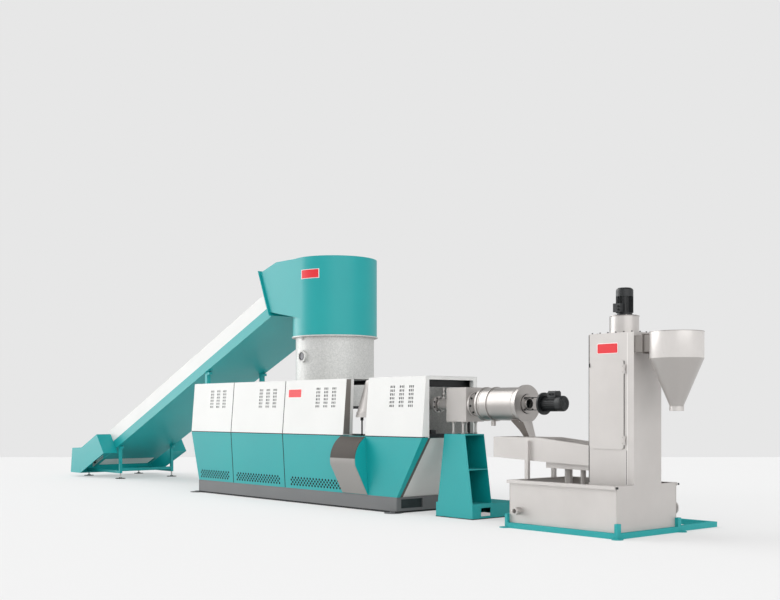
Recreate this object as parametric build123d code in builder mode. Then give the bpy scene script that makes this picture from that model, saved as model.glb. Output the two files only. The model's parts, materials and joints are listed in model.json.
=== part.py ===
from build123d import *
import os
from math import cos, radians, sin, tan

os.makedirs("parts", exist_ok=True)

# A plastics recycling line with a cutter compactor: inclined belt conveyor,
# cutter compactor drum, extruder in its housing, screen changer on its stand,
# die-face pelletizer, water tank and pellet dryer tower with cyclone.
# Millimetres. Origin on the drum's axis at floor level, +X along the line
# towards the dryer, +Y away from the service side, +Z up.

# Sheet and plate thicknesses
sheet = 4.0
plate = 8.0
heavy_plate = 20.0
seat_gap = 0.3

# Cooling fins of the motors
fin_count = 28
fin_depth = 14.0
fin_thickness = 5.0

# Conveyor
belt_slope = 22.6
mouth_x, mouth_z = -1004.0, 3409.0
trough_half_width = 700.0
channel_depth = 190.0
channel_flange = 60.0
board_height = 277.0
board_thickness = 12.0
board_start = 6830.0
belt_side_gap = 85.0
belt_half_width = trough_half_width - belt_side_gap
belt_thickness = 10.0
roller_radius = 72.0
roller_shaft_radius = 20.0
roller_drop = 98.0
tail_run = 7720.0
channel_overhang = 60.0
pan_end = 7350.0

# Loading hopper
hopper_half_width = 1040.0
hopper_tail_x, hopper_top_z = -8590.0, 654.0
hopper_lip_x, hopper_floor_z = -8670.0, 90.0
hopper_floor_end_x = -8170.0
hopper_nose_x, hopper_nose_z = -6990.0, 576.0
hopper_peak_x, hopper_peak_z = -7330.0, 987.0
hopper_step_x, hopper_step_z = -8100.0, 676.0

# Conveyor legs
leg_half_spacing = 640.0
leg_tube = 60.0
lower_leg_x = -6970.0
upper_leg_x = -3260.0
foot_height = 120.0
foot_radius = 55.0
foot_stem_radius = 14.0
upper_tube = 80.0
upper_foot = 10.0
upper_foot_half = 100.0
cross_bar_z = 200.0
upper_bar_z = 1880.0
foot_disc = 14.0
rail_foot_inset, rail_foot_length = 60.0, 100.0
head_plate_reach = 100.0
head_plate_thickness = 12.0

# Compactor
casing_radius = 746.0
casing_bottom, casing_top = 2815.0, 4164.0
drum_radius = 694.0
lid_disc_radius, lid_disc_y = 240.0, 120.0
drum_bottom = 1630.0
drum_wall = 12.0
rim_overhang = 16.0
rim_radius = casing_radius + rim_overhang
rim_thickness = 20.0
drum_flange_radius = 740.0
drum_flange_thickness = 40.0
drum_floor_thickness = 45.0
hood_shoulder_x = -756.0
mouth_rise, mouth_drop = 662.0, 129.0
hood_foot_z = 3110.0
mouth_flange_margin = 40.0
mouth_flange_drop = 200.0
mouth_opening_margin = 116.0
mouth_opening_half_width = casing_radius - mouth_opening_margin
mouth_opening_low, mouth_opening_high = -112.0, 640.0
sight_z = 2455.0
sight_radius = 105.0
sight_glass_radius = 70.0
sight_reach = 40.0
sight_ring_length = 80.0
sight_pane_depth, sight_pane_thickness = 24.0, 14.0

# Compactor frame and drive
frame_plate_half = 650.0
frame_plate_thickness = 40.0
frame_leg = 100.0
frame_leg_x = 540.0
frame_leg_front_y = -280.0
frame_leg_back_y = 560.0
motor_radius = 200.0
motor_bottom = 700.0
motor_flange_radius = 260.0
motor_cowl_length, motor_cowl_rounding = 190.0, 40.0
motor_box_half_width, motor_box_reach = 90.0, 290.0
motor_box_z0, motor_box_z1 = 1100.0, 1290.0

# Extruder housing
plinth_left, plinth_right = -2296.0, 3290.0
plinth_front, plinth_back = -1410.0, -380.0
plinth_bottom, plinth_top = 30.0, 234.0
plinth_wall = 100.0
plinth_foot_radius = 90.0
plinth_foot_inset = 100.0
plinth_recess_depth = 30.0
plinth_recess_y0, plinth_recess_y1 = -1320.0, -890.0
plinth_recess_z0, plinth_recess_z1 = 70.0, 204.0
panel_left = -2473.0
joint_1, joint_2 = -1115.0, 466.0
panel_right = 2086.0
block_left, block_right = 2626.0, 3903.0
belt_line = 1129.0
housing_top = 2007.0
housing_bottom = 234.0
front_belt_y = -1462.0
front_top_y = -1390.0
front_bottom_y = -1405.0
cover_back_y = -1340.0
housing_rear_y = -360.0
cover_gap = 4.0
belt_gap = 6.0
post = 70.0
rail_height, rail_drop = 50.0, 10.0
block_post_x = 2700.0
rail_end_x = 3263.0
drum_clearance = 26.0
feed_opening_x = 1340.0
panel_thickness = 18.0

# Ventilation windows in the upper covers
vent_columns, vent_rows = 3, 6
vent_pitch_x, vent_pitch_z = 207.0, 56.0
vent_width, vent_height = 100.0, 34.0
vent_top_z = 1860.0
vent_inset = 500.0

# Black frames inside the housing
inner_post = 80.0
inner_post_front = -440.0
inner_beam_bottom = 1855.0
inner_sill_top = 1175.0
clamp_y0, clamp_y1, clamp_top = -1223.0, -1124.0, 1231.0
top_rail_height = 65.0
frame_side, frame_head = 20.0, 50.0

# Curved side hood
side_hood_left, side_hood_right = 2030.0, 2630.0
side_hood_bulge_y, side_hood_bulge_z = -1670.0, 760.0
side_hood_foot_y, side_hood_foot_z = -1424.0, 242.0

# Feed cone in the gap of the housing
cone_x = 2330.0
cone_rim_radius, cone_step_radius = 298.0, 288.0
cone_bottom_radius, cone_top_radius = 276.0, 140.0
cone_bottom, cone_top = 1407.0, 1980.0
cone_rim_height, cone_step_height = 38.0, 83.0
cone_rod_radius = 12.0
cone_rod_spread_x, cone_rod_spread_y = 220.0, 80.0
cone_nut_radius, cone_nut_height = 24.0, 50.0
cone_base_margin = 20.0
cone_base_front, cone_base_back = -1330.0, -440.0

# Extruder
extruder_y, extruder_z = -1020.0, 1600.0
barrel_radius = 78.0
barrel_flange_x = 3740.0
barrel_flange_radius = 120.0
barrel_flange_thickness = 40.0

# Screen changer and its stand
block_x0, block_x1 = 4120.0, 4520.0
block_y0, block_y1 = -1200.0, -840.0
block_z0, block_z1 = 1355.0, 1835.0
block_chamfer = 6.0
stud_radius = 15.0
stud_inset_left, stud_inset_right = 100.0, 110.0
stud_inset_front, stud_inset_back = 50.0, 60.0
stud_left, stud_right = block_x0 + stud_inset_left, block_x1 - stud_inset_right
stud_front, stud_back = block_y0 + stud_inset_front, block_y1 - stud_inset_back
stand_left, stand_right = 3980.0, 4676.0
stand_top_width = 411.0
stand_top_reach = 3.0
stand_top_left = block_x0 - stand_top_reach
stand_top_right = stand_top_left + stand_top_width
stand_front, stand_back = -1230.0, -850.0
stand_base_left = 3943.0
stand_base_back = -250.0
stand_base_height = 207.0
stand_height = 1180.0
shelf_z = 680.0
fork_y0, fork_y1 = -1060.0, -870.0
fork_z0, fork_z1 = 40.0, 155.0

# Pelletizer
adapter_radius = 167.0
adapter_thickness = 40.0
adapter_neck_radius = 61.0
adapter_neck_length = 173.0
cutter_length = 727.0
cutter_left = block_x1 + adapter_thickness + adapter_neck_length
cutter_right = cutter_left + cutter_length
cutter_radius = 225.0
cutter_wall = 10.0
cutter_ring_radius = 236.0
left_ring_width = 30.0
seam_ring_offset, seam_ring_width = 195.0, 20.0
cutter_plate_radius = 255.0
cutter_plate_thickness = 40.0
cutter_flange_radius = 127.0
cutter_flange_thickness = 22.0
cutter_bore_radius = 67.0
nozzle_offset, nozzle_reach = 143.0, 75.0
nozzle_x = cutter_left + nozzle_offset
nozzle_radius, nozzle_bore = 34.0, 28.0
chute_overlap, chute_slot_length = 170.0, 140.0
chute_half_width, chute_foot_half_width = 90.0, 62.0
chute_x0 = cutter_right - chute_overlap
chute_x1 = cutter_right + cutter_plate_thickness
chute_top, chute_knee = 1440.0, 1372.0
chute_left_foot_reach, chute_left_foot_z = 135.0, 1250.0
chute_left_foot = chute_x0 + chute_left_foot_reach
chute_foot_reach, chute_foot_width = 200.0, 100.0
chute_foot_x0 = chute_x0 + chute_foot_reach
chute_foot_x1 = chute_foot_x0 + chute_foot_width
chute_foot_z = 1165.0
chute_wall = 6.0
spout_reach, spout_bottom = 55.0, 1125.0
spout_x = chute_foot_x0 + spout_reach
spout_radius, spout_bore = 60.0, 54.0
yoke_length = 258.0
yoke_half_height = 88.0
yoke_half_width = 70.0
yoke_plate = 10.0
cutter_motor_length = 363.0
cutter_motor_radius = 102.0
cutter_motor_flange_radius = 147.0
cutter_motor_flange_thickness = 26.0
cutter_motor_cowl_length, cutter_motor_cowl_rounding = 96.0, 24.0
terminal_box_offset, terminal_box_length = 120.0, 130.0
terminal_box_half_width, terminal_box_rise = 60.0, 165.0
terminal_box_corner = 22.0

# Water tank, tray and dryer
tank_x0, tank_x1 = 5664.0, 7365.0
tank_y0, tank_y1 = -1537.0, -352.0
tank_z0, tank_z1 = 69.0, 617.0
tank_wall = 6.0
rim_out, rim_in, rim_height = 30.0, 50.0, 40.0
frame_bar = 69.0
frame_margin = 46.0
corner_post_height = 180.0
tank_foot_radius, tank_foot_height = 70.0, 10.0
tank_nozzle_x, tank_nozzle_z = 5840.0, 230.0
tank_nozzle_radius, tank_nozzle_bore, tank_nozzle_reach = 44.0, 32.0, 110.0
drain_x, drain_z = 7200.0, 283.0
drain_radius, drain_bore = 45.0, 37.0
drain_reach = 172.0
drain_flange_radius, drain_flange_thickness = 90.0, 20.0
frame_extension_y = 560.0
frame_extension_left = 6300.0
tray_x0 = 5050.0
tray_y0, tray_y1 = -1200.0, -720.0
tray_bend_x = 5850.0
tray_top_left, tray_top_right = 1157.0, 1078.0
tray_floor_left, tray_floor_bend, tray_floor_right = 885.0, 850.0, 824.0
tray_post_width, tray_post_inset, tray_post_drop = 56.0, 10.0, 40.0
tray_post_depth = 46.0
pan_x0, pan_x1 = 5940.0, 6640.0
pan_bottom_left, pan_bottom_right = 770.0, 762.0
pan_margin = 50.0
pan_pipe_y, pan_pipe_bottom = -950.0, 545.0
pan_pipes = ((6150.0, 50.0), (6390.0, 35.0))
tower_x0, tower_x1 = 6683.0, 7365.0
tower_y0, tower_y1 = -1205.0, -658.0
tower_z0, tower_top = 240.0, 2452.0
tower_wall = 6.0
tower_strip_width, tower_strip_thickness = 89.0, 3.0
tower_inlet_margin = 30.0
door_x0, door_x1 = 6700.0, 7220.0
door_z0, door_z1 = 1040.0, 2120.0
door_gap = 5.0
door_thickness = 5.0
door_lap = 45.0
door_corner = 40.0
hinge_x = 7234.0
hinge_pin_radius = 5.0
hinge_knuckle_radius = 9.0
hinge_height = 110.0
hinge_heights = (1149.0, 2008.0)
hinge_leaf_front, hinge_leaf_back = 3.0, 2.5
hinge_leaf_reach, hinge_wing_reach = 26.0, 16.0
knuckle_gap = 1.0
pin_clearance = 0.1
pedestal_x, pedestal_y = 7020.0, -930.0
pedestal_radius = 175.0
pedestal_top = 2673.0
dryer_motor_radius = 106.0
dryer_motor_top = 3014.0
dryer_motor_flange_radius, dryer_motor_flange_thickness = 125.0, 12.0
dryer_motor_neck_radius, dryer_motor_neck_height = 94.0, 28.0
dryer_motor_cowl_length, dryer_motor_cowl_rounding = 102.0, 30.0
dryer_box_half_width, dryer_box_reach, dryer_box_depth = 55.0, 160.0, 80.0
dryer_box_z0, dryer_box_z1 = 2715.0, 2821.0
cyclone_x, cyclone_y = 7800.0, -970.0
cyclone_radius = 314.0
cyclone_wall = 6.0
cyclone_top, cyclone_shoulder = 2437.0, 2120.0
cyclone_throat_z, cyclone_bottom = 1566.0, 1505.0
cyclone_throat_radius = 81.0
duct_y0, duct_y1 = -1199.0, -1050.0
duct_z0, duct_z1 = 2202.0, 2404.0
duct_flange_x, duct_flange_thickness, duct_flange_margin = 7478.0, 16.0, 16.0


def save(builder, name):
    """Label a finished piece and write it as its own file."""
    builder.part.label = name
    export_step(builder.part, f"parts/{name}.step")


def slab(x0, x1, y0, y1, z0, z1, mode=Mode.ADD):
    """A block between two corners."""
    with Locations(((x0 + x1) / 2, (y0 + y1) / 2, (z0 + z1) / 2)):
        Box(x1 - x0, y1 - y0, z1 - z0, mode=mode)


def prism(plane, points, depth, mode=Mode.ADD):
    """A straight-sided outline on a plane, extruded along its normal."""
    with BuildSketch(plane, mode=Mode.PRIVATE) as outline:
        with BuildLine():
            Polyline(*points, close=True)
        make_face()
    extrude(outline.sketch, amount=depth, mode=mode)


def post_at(x, y, z0, z1, radius, mode=Mode.ADD):
    """An upright round bar."""
    with Locations((x, y, z0)):
        Cylinder(radius, z1 - z0, align=(Align.CENTER, Align.CENTER, Align.MIN), mode=mode)


def disc_along_line(x0, x1, radius, mode=Mode.ADD):
    """A round bar along the extruder's axis."""
    with Locations(Location((x0, extruder_y, extruder_z), (0, 90, 0))):
        Cylinder(radius, x1 - x0, align=(Align.CENTER, Align.CENTER, Align.MIN), mode=mode)


def finned_body(plane, length, radius, cowl_length):
    """A motor body with cooling fins along a plane's normal, ending in its smooth fan cowl."""
    core = radius - fin_depth
    with BuildSketch(plane, mode=Mode.PRIVATE) as section:
        Circle(core)
        with PolarLocations(core + fin_depth / 2, fin_count):
            Rectangle(2 * fin_depth, fin_thickness)
        Circle(radius, mode=Mode.INTERSECT)
    extrude(section.sketch, amount=length - cowl_length)
    with BuildSketch(plane.offset(length - cowl_length), mode=Mode.PRIVATE) as cowl:
        Circle(radius)
    extrude(cowl.sketch, amount=cowl_length)


def side_plane(y):
    """Side view plane at a depth; extruding goes towards the service side."""
    return Plane.XZ.offset(-y)


def belt_point(run, rise=0.0):
    """Side-view point, run metres up (+) the belt from the mouth, rise above the deck."""
    slope = radians(belt_slope)
    return (
        mouth_x + run * cos(slope) - rise * sin(slope),
        mouth_z + run * sin(slope) + rise * cos(slope),
    )


def belt_section(run):
    """Plane across the belt: local x is the row's Y, local y is away from the deck."""
    slope = radians(belt_slope)
    x, z = belt_point(run)
    return Plane(origin=(x, 0, z), x_dir=(0, 1, 0), z_dir=(cos(slope), 0, sin(slope)))


def belt_side(y):
    """Plane along the belt at a depth: local x runs uphill, local y away from the deck."""
    slope = radians(belt_slope)
    return Plane(
        origin=(mouth_x, y, mouth_z), x_dir=(cos(slope), 0, sin(slope)), z_dir=(0, -1, 0)
    )


# Conveyor: two folded side channels carry everything
mouth_flange_thickness = 12.0
channel_end = -mouth_flange_thickness - seat_gap
channel_length = tail_run + roller_radius + channel_end + channel_overhang
with BuildPart() as conveyor_channels:
    with BuildSketch(belt_section(channel_end - channel_length)):
        with BuildLine():
            outer, inner = trough_half_width, trough_half_width - channel_flange
            Polyline(
                (outer, 0), (inner, 0), (inner, -plate), (outer - plate, -plate),
                (outer - plate, plate - channel_depth), (inner, plate - channel_depth),
                (inner, -channel_depth), (outer, -channel_depth), close=True,
            )
        make_face()
        mirror(about=Plane.YZ)
    extrude(amount=channel_length)
save(conveyor_channels, "conveyor_channels")

# White side boards standing on the channels
with BuildPart() as conveyor_boards:
    for y in (trough_half_width, board_thickness - trough_half_width):
        prism(
            belt_side(y),
            [
                (-board_start, 0), (channel_end, 0),
                (channel_end, board_height), (-board_start - 60, board_height),
            ],
            board_thickness,
        )
save(conveyor_boards, "conveyor_boards")

# Folded pan closing the underside between the channel webs
with BuildPart() as conveyor_pan:
    prism(
        belt_side(trough_half_width - channel_flange - seat_gap),
        [
            (-pan_end, -channel_depth), (channel_end, -channel_depth),
            (channel_end, sheet - channel_depth), (-pan_end, sheet - channel_depth),
        ],
        2 * (trough_half_width - channel_flange - seat_gap),
    )
save(conveyor_pan, "conveyor_pan")

# Belt as one fixed loop round the two rollers
belt_radius = roller_radius + belt_thickness
head_run = -mouth_flange_thickness - belt_radius - 6.0
with BuildPart() as conveyor_belt:
    span = tail_run + head_run
    with BuildSketch(belt_side(belt_half_width)):
        with Locations(((head_run - tail_run) / 2, -roller_drop)):
            SlotCenterToCenter(span, 2 * belt_radius)
            SlotCenterToCenter(span, 2 * (roller_radius + seat_gap), mode=Mode.SUBTRACT)
    extrude(amount=2 * belt_half_width)
save(conveyor_belt, "conveyor_belt")

# Tail and head rollers with their shaft ends seated in the channel webs
roller_end = trough_half_width - plate - seat_gap
with BuildPart() as conveyor_rollers:
    with BuildSketch(belt_side(belt_half_width)):
        with Locations((-tail_run, -roller_drop), (head_run, -roller_drop)):
            Circle(roller_radius)
    extrude(amount=2 * belt_half_width)
    with BuildSketch(belt_side(roller_end)):
        with Locations((-tail_run, -roller_drop), (head_run, -roller_drop)):
            Circle(roller_shaft_radius)
    extrude(amount=2 * roller_end)
save(conveyor_rollers, "conveyor_rollers")

# Loading hopper round the conveyor's tail
hopper_outline = [
    (hopper_tail_x, hopper_top_z),
    (hopper_lip_x, hopper_floor_z),
    (hopper_floor_end_x, hopper_floor_z),
    (hopper_nose_x, hopper_nose_z),
    (hopper_peak_x, hopper_peak_z),
    (hopper_step_x, hopper_step_z),
]
hopper_edge = trough_half_width + seat_gap
with BuildPart() as loading_hopper:
    prism(side_plane(-hopper_half_width + plate), hopper_outline, plate)
    prism(side_plane(hopper_half_width), hopper_outline, plate)
    nose_sheet = [
        (hopper_nose_x, hopper_nose_z), (hopper_peak_x, hopper_peak_z),
        (hopper_peak_x - plate, hopper_peak_z - plate / 2), (hopper_nose_x - plate, hopper_nose_z),
    ]
    prism(side_plane(-hopper_edge), nose_sheet, hopper_half_width - hopper_edge)
    prism(side_plane(hopper_half_width), nose_sheet, hopper_half_width - hopper_edge)
    tail_sheet = [
        (hopper_tail_x, hopper_top_z), (hopper_lip_x, hopper_floor_z),
        (hopper_lip_x + plate, hopper_floor_z), (hopper_tail_x + plate, hopper_top_z),
    ]
    prism(side_plane(hopper_half_width), tail_sheet, 2 * hopper_half_width)
    slab(
        hopper_lip_x, hopper_floor_end_x, -hopper_half_width, hopper_half_width,
        hopper_floor_z, hopper_floor_z + plate,
    )
save(loading_hopper, "loading_hopper")


def channel_underside(x):
    """Height of the channels' underside at a place along the line."""
    slope = radians(belt_slope)
    below_mouth = (mouth_x - x) * tan(slope)
    return mouth_z - below_mouth - (channel_depth + seat_gap) / cos(slope)


def sloped_leg(x, y, bottom, tube):
    """Square leg whose top is cut to the conveyor's slope."""
    x0, x1 = x - tube / 2, x + tube / 2
    outline = [(x0, bottom), (x1, bottom), (x1, channel_underside(x1)), (x0, channel_underside(x0))]
    prism(side_plane(y + tube / 2), outline, tube)


def head_plate(x, y, tube):
    """Bracket under the channel, reaching uphill from the leg's top."""
    x0, x1 = x - tube / 2, x + tube / 2 + head_plate_reach
    low, high = channel_underside(x0), channel_underside(x1)
    outline = [(x0, low), (x1, high), (x1, high - head_plate_thickness), (x0, low - head_plate_thickness)]
    prism(side_plane(y + tube / 2), outline, tube)


# Lower legs on levelling feet, with a cross bar and two floor rails
rail_z = hopper_floor_z + plate + seat_gap
rail_x0 = hopper_lip_x + rail_foot_inset
with BuildPart() as conveyor_legs:
    for y in (-leg_half_spacing, leg_half_spacing):
        sloped_leg(lower_leg_x, y, foot_height, leg_tube)
        head_plate(lower_leg_x, y, leg_tube)
        slab(
            rail_x0, lower_leg_x, y - leg_tube / 2, y + leg_tube / 2,
            foot_height, foot_height + leg_tube,
        )
        slab(
            rail_x0, rail_x0 + rail_foot_length, y - leg_tube / 2, y + leg_tube / 2,
            rail_z, foot_height,
        )
    slab(
        lower_leg_x - leg_tube / 2, lower_leg_x + leg_tube / 2,
        -leg_half_spacing, leg_half_spacing,
        cross_bar_z - leg_tube / 2, cross_bar_z + leg_tube / 2,
    )

    # Upper legs behind the housing, on floor plates
    for y in (-leg_half_spacing, leg_half_spacing):
        sloped_leg(upper_leg_x, y, upper_foot, upper_tube)
        head_plate(upper_leg_x, y, upper_tube)
        slab(
            upper_leg_x - upper_foot_half, upper_leg_x + upper_foot_half,
            y - upper_foot_half, y + upper_foot_half, 0, upper_foot,
        )
    slab(
        upper_leg_x - upper_tube / 2, upper_leg_x + upper_tube / 2,
        -leg_half_spacing, leg_half_spacing, upper_bar_z, upper_bar_z + upper_tube,
    )
save(conveyor_legs, "conveyor_legs")

# Levelling feet under the lower legs and the hopper
with BuildPart() as levelling_feet:
    for x, top in ((lower_leg_x, foot_height), (rail_x0 + rail_foot_length / 2, hopper_floor_z)):
        for y in (-leg_half_spacing, leg_half_spacing):
            post_at(x, y, 0, foot_disc, foot_radius)
            post_at(x, y, foot_disc, top, foot_stem_radius)
save(levelling_feet, "levelling_feet")

# Upper casing of the compactor with its infeed hood
hood_outer = [
    belt_point(0, mouth_rise), (hood_shoulder_x, casing_top), (0, casing_top),
    (0, hood_foot_z), belt_point(0, -mouth_drop),
]
with BuildPart() as compactor_casing:
    with BuildSketch(Plane.XY.offset(casing_bottom)):
        Circle(casing_radius)
    extrude(amount=casing_top - casing_bottom)
    prism(side_plane(casing_radius), hood_outer, 2 * casing_radius)
    with BuildSketch(Plane.XY.offset(casing_bottom)):
        Circle(casing_radius - plate)
    extrude(amount=casing_top - casing_bottom, mode=Mode.SUBTRACT)
    hood_inner = [
        belt_point(-20, mouth_rise - plate), belt_point(0, mouth_rise - plate),
        (hood_shoulder_x, casing_top - plate),
        (0, casing_top - plate), (0, hood_foot_z + plate),
        belt_point(0, plate - mouth_drop), belt_point(-20, plate - mouth_drop),
    ]
    prism(
        side_plane(casing_radius - plate), hood_inner, 2 * (casing_radius - plate),
        mode=Mode.SUBTRACT,
    )
save(compactor_casing, "compactor_casing")

# Flat lid on the casing
with BuildPart() as casing_lid:
    post_at(0, 0, casing_top, casing_top + plate, casing_radius)
    post_at(0, lid_disc_y, casing_top + plate, casing_top + 3 * plate, lid_disc_radius)
save(casing_lid, "casing_lid")

# Flange plate at the hood's mouth, where the conveyor butts
with BuildPart() as mouth_flange:
    with BuildSketch(belt_section(-mouth_flange_thickness)):
        flange_top = mouth_rise + mouth_flange_margin
        with Locations((0, (flange_top - mouth_flange_drop) / 2)):
            Rectangle(2 * (casing_radius + mouth_flange_margin), flange_top + mouth_flange_drop)
        with Locations((0, (mouth_opening_low + mouth_opening_high) / 2)):
            Rectangle(
                2 * mouth_opening_half_width, mouth_opening_high - mouth_opening_low,
                mode=Mode.SUBTRACT,
            )
    extrude(amount=mouth_flange_thickness)
save(mouth_flange, "mouth_flange")

# Lower drum shell with its rim, bottom flange and the sight port
floor_top = drum_bottom - drum_flange_thickness
with BuildPart() as cutter_drum:
    with BuildSketch(Plane.XY.offset(drum_bottom)):
        Circle(drum_radius)
    extrude(amount=casing_bottom - drum_bottom)
    with BuildSketch(Plane.XY.offset(casing_bottom - rim_thickness)):
        Circle(rim_radius)
    extrude(amount=rim_thickness)
    with BuildSketch(Plane.XY.offset(floor_top)):
        Circle(drum_flange_radius)
    extrude(amount=drum_flange_thickness)
    with BuildSketch(Plane.XY.offset(floor_top)):
        Circle(drum_radius - drum_wall)
    extrude(amount=casing_bottom - floor_top, mode=Mode.SUBTRACT)
    with BuildSketch(side_plane(-drum_radius / 2)):
        with Locations((0, sight_z)):
            Circle(sight_radius)
    extrude(amount=drum_radius, mode=Mode.SUBTRACT)
save(cutter_drum, "cutter_drum")

# Sight port ring, seated in the drum wall, and its glass
sight_outer_y = -drum_radius - sight_reach
with BuildPart() as sight_ring:
    with BuildSketch(side_plane(sight_outer_y + sight_ring_length)):
        with Locations((0, sight_z)):
            Circle(sight_radius - seat_gap)
            Circle(sight_glass_radius, mode=Mode.SUBTRACT)
    extrude(amount=sight_ring_length)
save(sight_ring, "sight_ring")

with BuildPart() as sight_pane:
    with BuildSketch(side_plane(sight_outer_y + sight_pane_depth)):
        with Locations((0, sight_z)):
            Circle(sight_glass_radius - seat_gap)
    extrude(amount=sight_pane_thickness)
save(sight_pane, "sight_pane")

# Welded frame that carries the compactor, with the drum floor on top
frame_top = floor_top - drum_floor_thickness
with BuildPart() as compactor_frame:
    post_at(0, 0, frame_top, floor_top, drum_flange_radius)
    slab(
        -frame_plate_half, frame_plate_half, plinth_back + seat_gap, frame_plate_half,
        0, frame_plate_thickness,
    )
    for x in (-frame_leg_x, frame_leg_x):
        for y in (frame_leg_front_y, frame_leg_back_y):
            half = frame_leg / 2
            slab(x - half, x + half, y - half, y + half, frame_plate_thickness, frame_top)
save(compactor_frame, "compactor_frame")

# Upright drive motor under the drum floor
with BuildPart() as compactor_motor:
    motor_head = frame_top - heavy_plate
    hanging = Plane((0, 0, motor_head), x_dir=(1, 0, 0), z_dir=(0, 0, -1))
    finned_body(hanging, motor_head - motor_bottom, motor_radius, motor_cowl_length)
    fillet(compactor_motor.faces().sort_by(Axis.Z)[0].edges(), motor_cowl_rounding)
    post_at(0, 0, motor_head, frame_top, motor_flange_radius)
    slab(
        -motor_box_half_width, motor_box_half_width, 0, motor_box_reach,
        motor_box_z0, motor_box_z1,
    )
save(compactor_motor, "compactor_motor")

# Plinth of the housing: welded beams with cross members
with BuildPart() as plinth:
    slab(plinth_left, plinth_right, plinth_front, plinth_back, plinth_bottom, plinth_top)
    bays = 4
    clear = (plinth_right - plinth_left - (bays + 1) * plinth_wall) / bays
    for bay in range(bays):
        x = plinth_left + plinth_wall + bay * (clear + plinth_wall)
        slab(
            x, x + clear, plinth_front + plinth_wall, plinth_back - plinth_wall,
            plinth_bottom, plinth_top, mode=Mode.SUBTRACT,
        )
    slab(
        plinth_right - plinth_recess_depth, plinth_right, plinth_recess_y0, plinth_recess_y1,
        plinth_recess_z0, plinth_recess_z1, mode=Mode.SUBTRACT,
    )
save(plinth, "plinth")

with BuildPart() as plinth_feet:
    middle = (plinth_left + plinth_right) / 2
    for x in (plinth_left + plinth_foot_inset, middle, plinth_right - plinth_foot_inset):
        for y in (plinth_front + plinth_foot_inset, plinth_back - plinth_foot_inset):
            post_at(x, y, 0, plinth_bottom, plinth_foot_radius)
save(plinth_feet, "plinth_feet")

# Posts and rails of the housing
post_front = cover_back_y
post_rear = housing_rear_y - sheet - post
front_posts = (plinth_left + post, joint_1, joint_2, panel_right - post / 2, block_post_x)
rear_posts = (plinth_left + post, joint_1, panel_right - post / 2, block_post_x)
rail_top = belt_line - rail_drop
with BuildPart() as housing_frame:
    for x in front_posts:
        slab(x - post / 2, x + post / 2, post_front, post_front + post, plinth_top, housing_top)
    for x in rear_posts:
        slab(x - post / 2, x + post / 2, post_rear, post_rear + post, plinth_top, housing_top)
    for y in (post_front, post_rear):
        slab(
            plinth_left + post / 2, rail_end_x, y, y + post,
            rail_top - rail_height, rail_top,
        )
save(housing_frame, "housing_frame")

# Upper covers: slanted shallow boxes, open at the back, with rows of ventilation windows
upper_foot_z, lower_head_z = belt_line + belt_gap, belt_line - belt_gap
upper_outline = [
    (front_belt_y, upper_foot_z), (front_top_y, housing_top),
    (cover_back_y, housing_top), (cover_back_y, upper_foot_z),
]
upper_inner = [
    (front_belt_y + sheet, upper_foot_z + sheet), (front_top_y + sheet, housing_top - sheet),
    (cover_back_y + 1, housing_top - sheet), (cover_back_y + 1, upper_foot_z + sheet),
]


def upper_cover(name, x0, x1):
    """One white front cover between two joints."""
    with BuildPart() as cover:
        prism(Plane.YZ.offset(x0), upper_outline, x1 - x0)
        prism(Plane.YZ.offset(x0 + sheet), upper_inner, x1 - x0 - 2 * sheet, mode=Mode.SUBTRACT)
        with BuildSketch(side_plane(cover_back_y)):
            vent_middle_z = vent_top_z - (vent_rows - 1) / 2 * vent_pitch_z
            with Locations((x1 - vent_inset, vent_middle_z)):
                with GridLocations(vent_pitch_x, vent_pitch_z, vent_columns, vent_rows):
                    Rectangle(vent_width, vent_height)
        extrude(amount=cover_back_y - front_belt_y, mode=Mode.SUBTRACT)
    save(cover, name)


half_gap = cover_gap / 2
upper_cover("upper_cover_1", panel_left, joint_1 - half_gap)
upper_cover("upper_cover_2", joint_1 + half_gap, joint_2 - half_gap)
upper_cover("upper_cover_3", joint_2 + half_gap, panel_right)
upper_cover("upper_cover_4", block_left, block_right)

# Lower covers: the same boxes leaning the other way
lower_outline = [
    (front_belt_y, lower_head_z), (front_bottom_y, housing_bottom),
    (cover_back_y, housing_bottom), (cover_back_y, lower_head_z),
]
lower_inner = [
    (front_belt_y + sheet, lower_head_z - sheet), (front_bottom_y + sheet, housing_bottom + sheet),
    (cover_back_y + 1, housing_bottom + sheet), (cover_back_y + 1, lower_head_z - sheet),
]


def lower_cover(name, x0, x1, foot_x0, foot_x1):
    """One teal front cover, its ends cut to the line from belt to foot."""
    with BuildPart() as cover:
        prism(Plane.YZ.offset(x0), lower_outline, x1 - x0)
        prism(Plane.YZ.offset(x0 + sheet), lower_inner, x1 - x0 - 2 * sheet, mode=Mode.SUBTRACT)
        for belt_x, foot_x, away in ((x0, foot_x0, -1), (x1, foot_x1, 1)):
            if belt_x != foot_x:
                wedge = [
                    (belt_x, belt_line), (foot_x, housing_bottom - 1),
                    (belt_x + away, housing_bottom - 1), (belt_x + away, belt_line),
                ]
                cover_depth = cover_back_y - front_belt_y
                prism(side_plane(cover_back_y + 1), wedge, cover_depth + 2, mode=Mode.SUBTRACT)
                return_sheet = [
                    (belt_x, lower_head_z), (foot_x, housing_bottom),
                    (foot_x - away * sheet, housing_bottom), (belt_x - away * sheet, lower_head_z),
                ]
                with BuildSketch(side_plane(cover_back_y)) as return_face:
                    with BuildLine():
                        Polyline(*return_sheet, close=True)
                    make_face()
                end_sheet = extrude(return_face.sketch, amount=cover_depth + 1, mode=Mode.PRIVATE)
                section = extrude_profile(lower_outline, min(x0, foot_x0), max(x1, foot_x1))
                add(end_sheet & section)
    save(cover, name)


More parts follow.
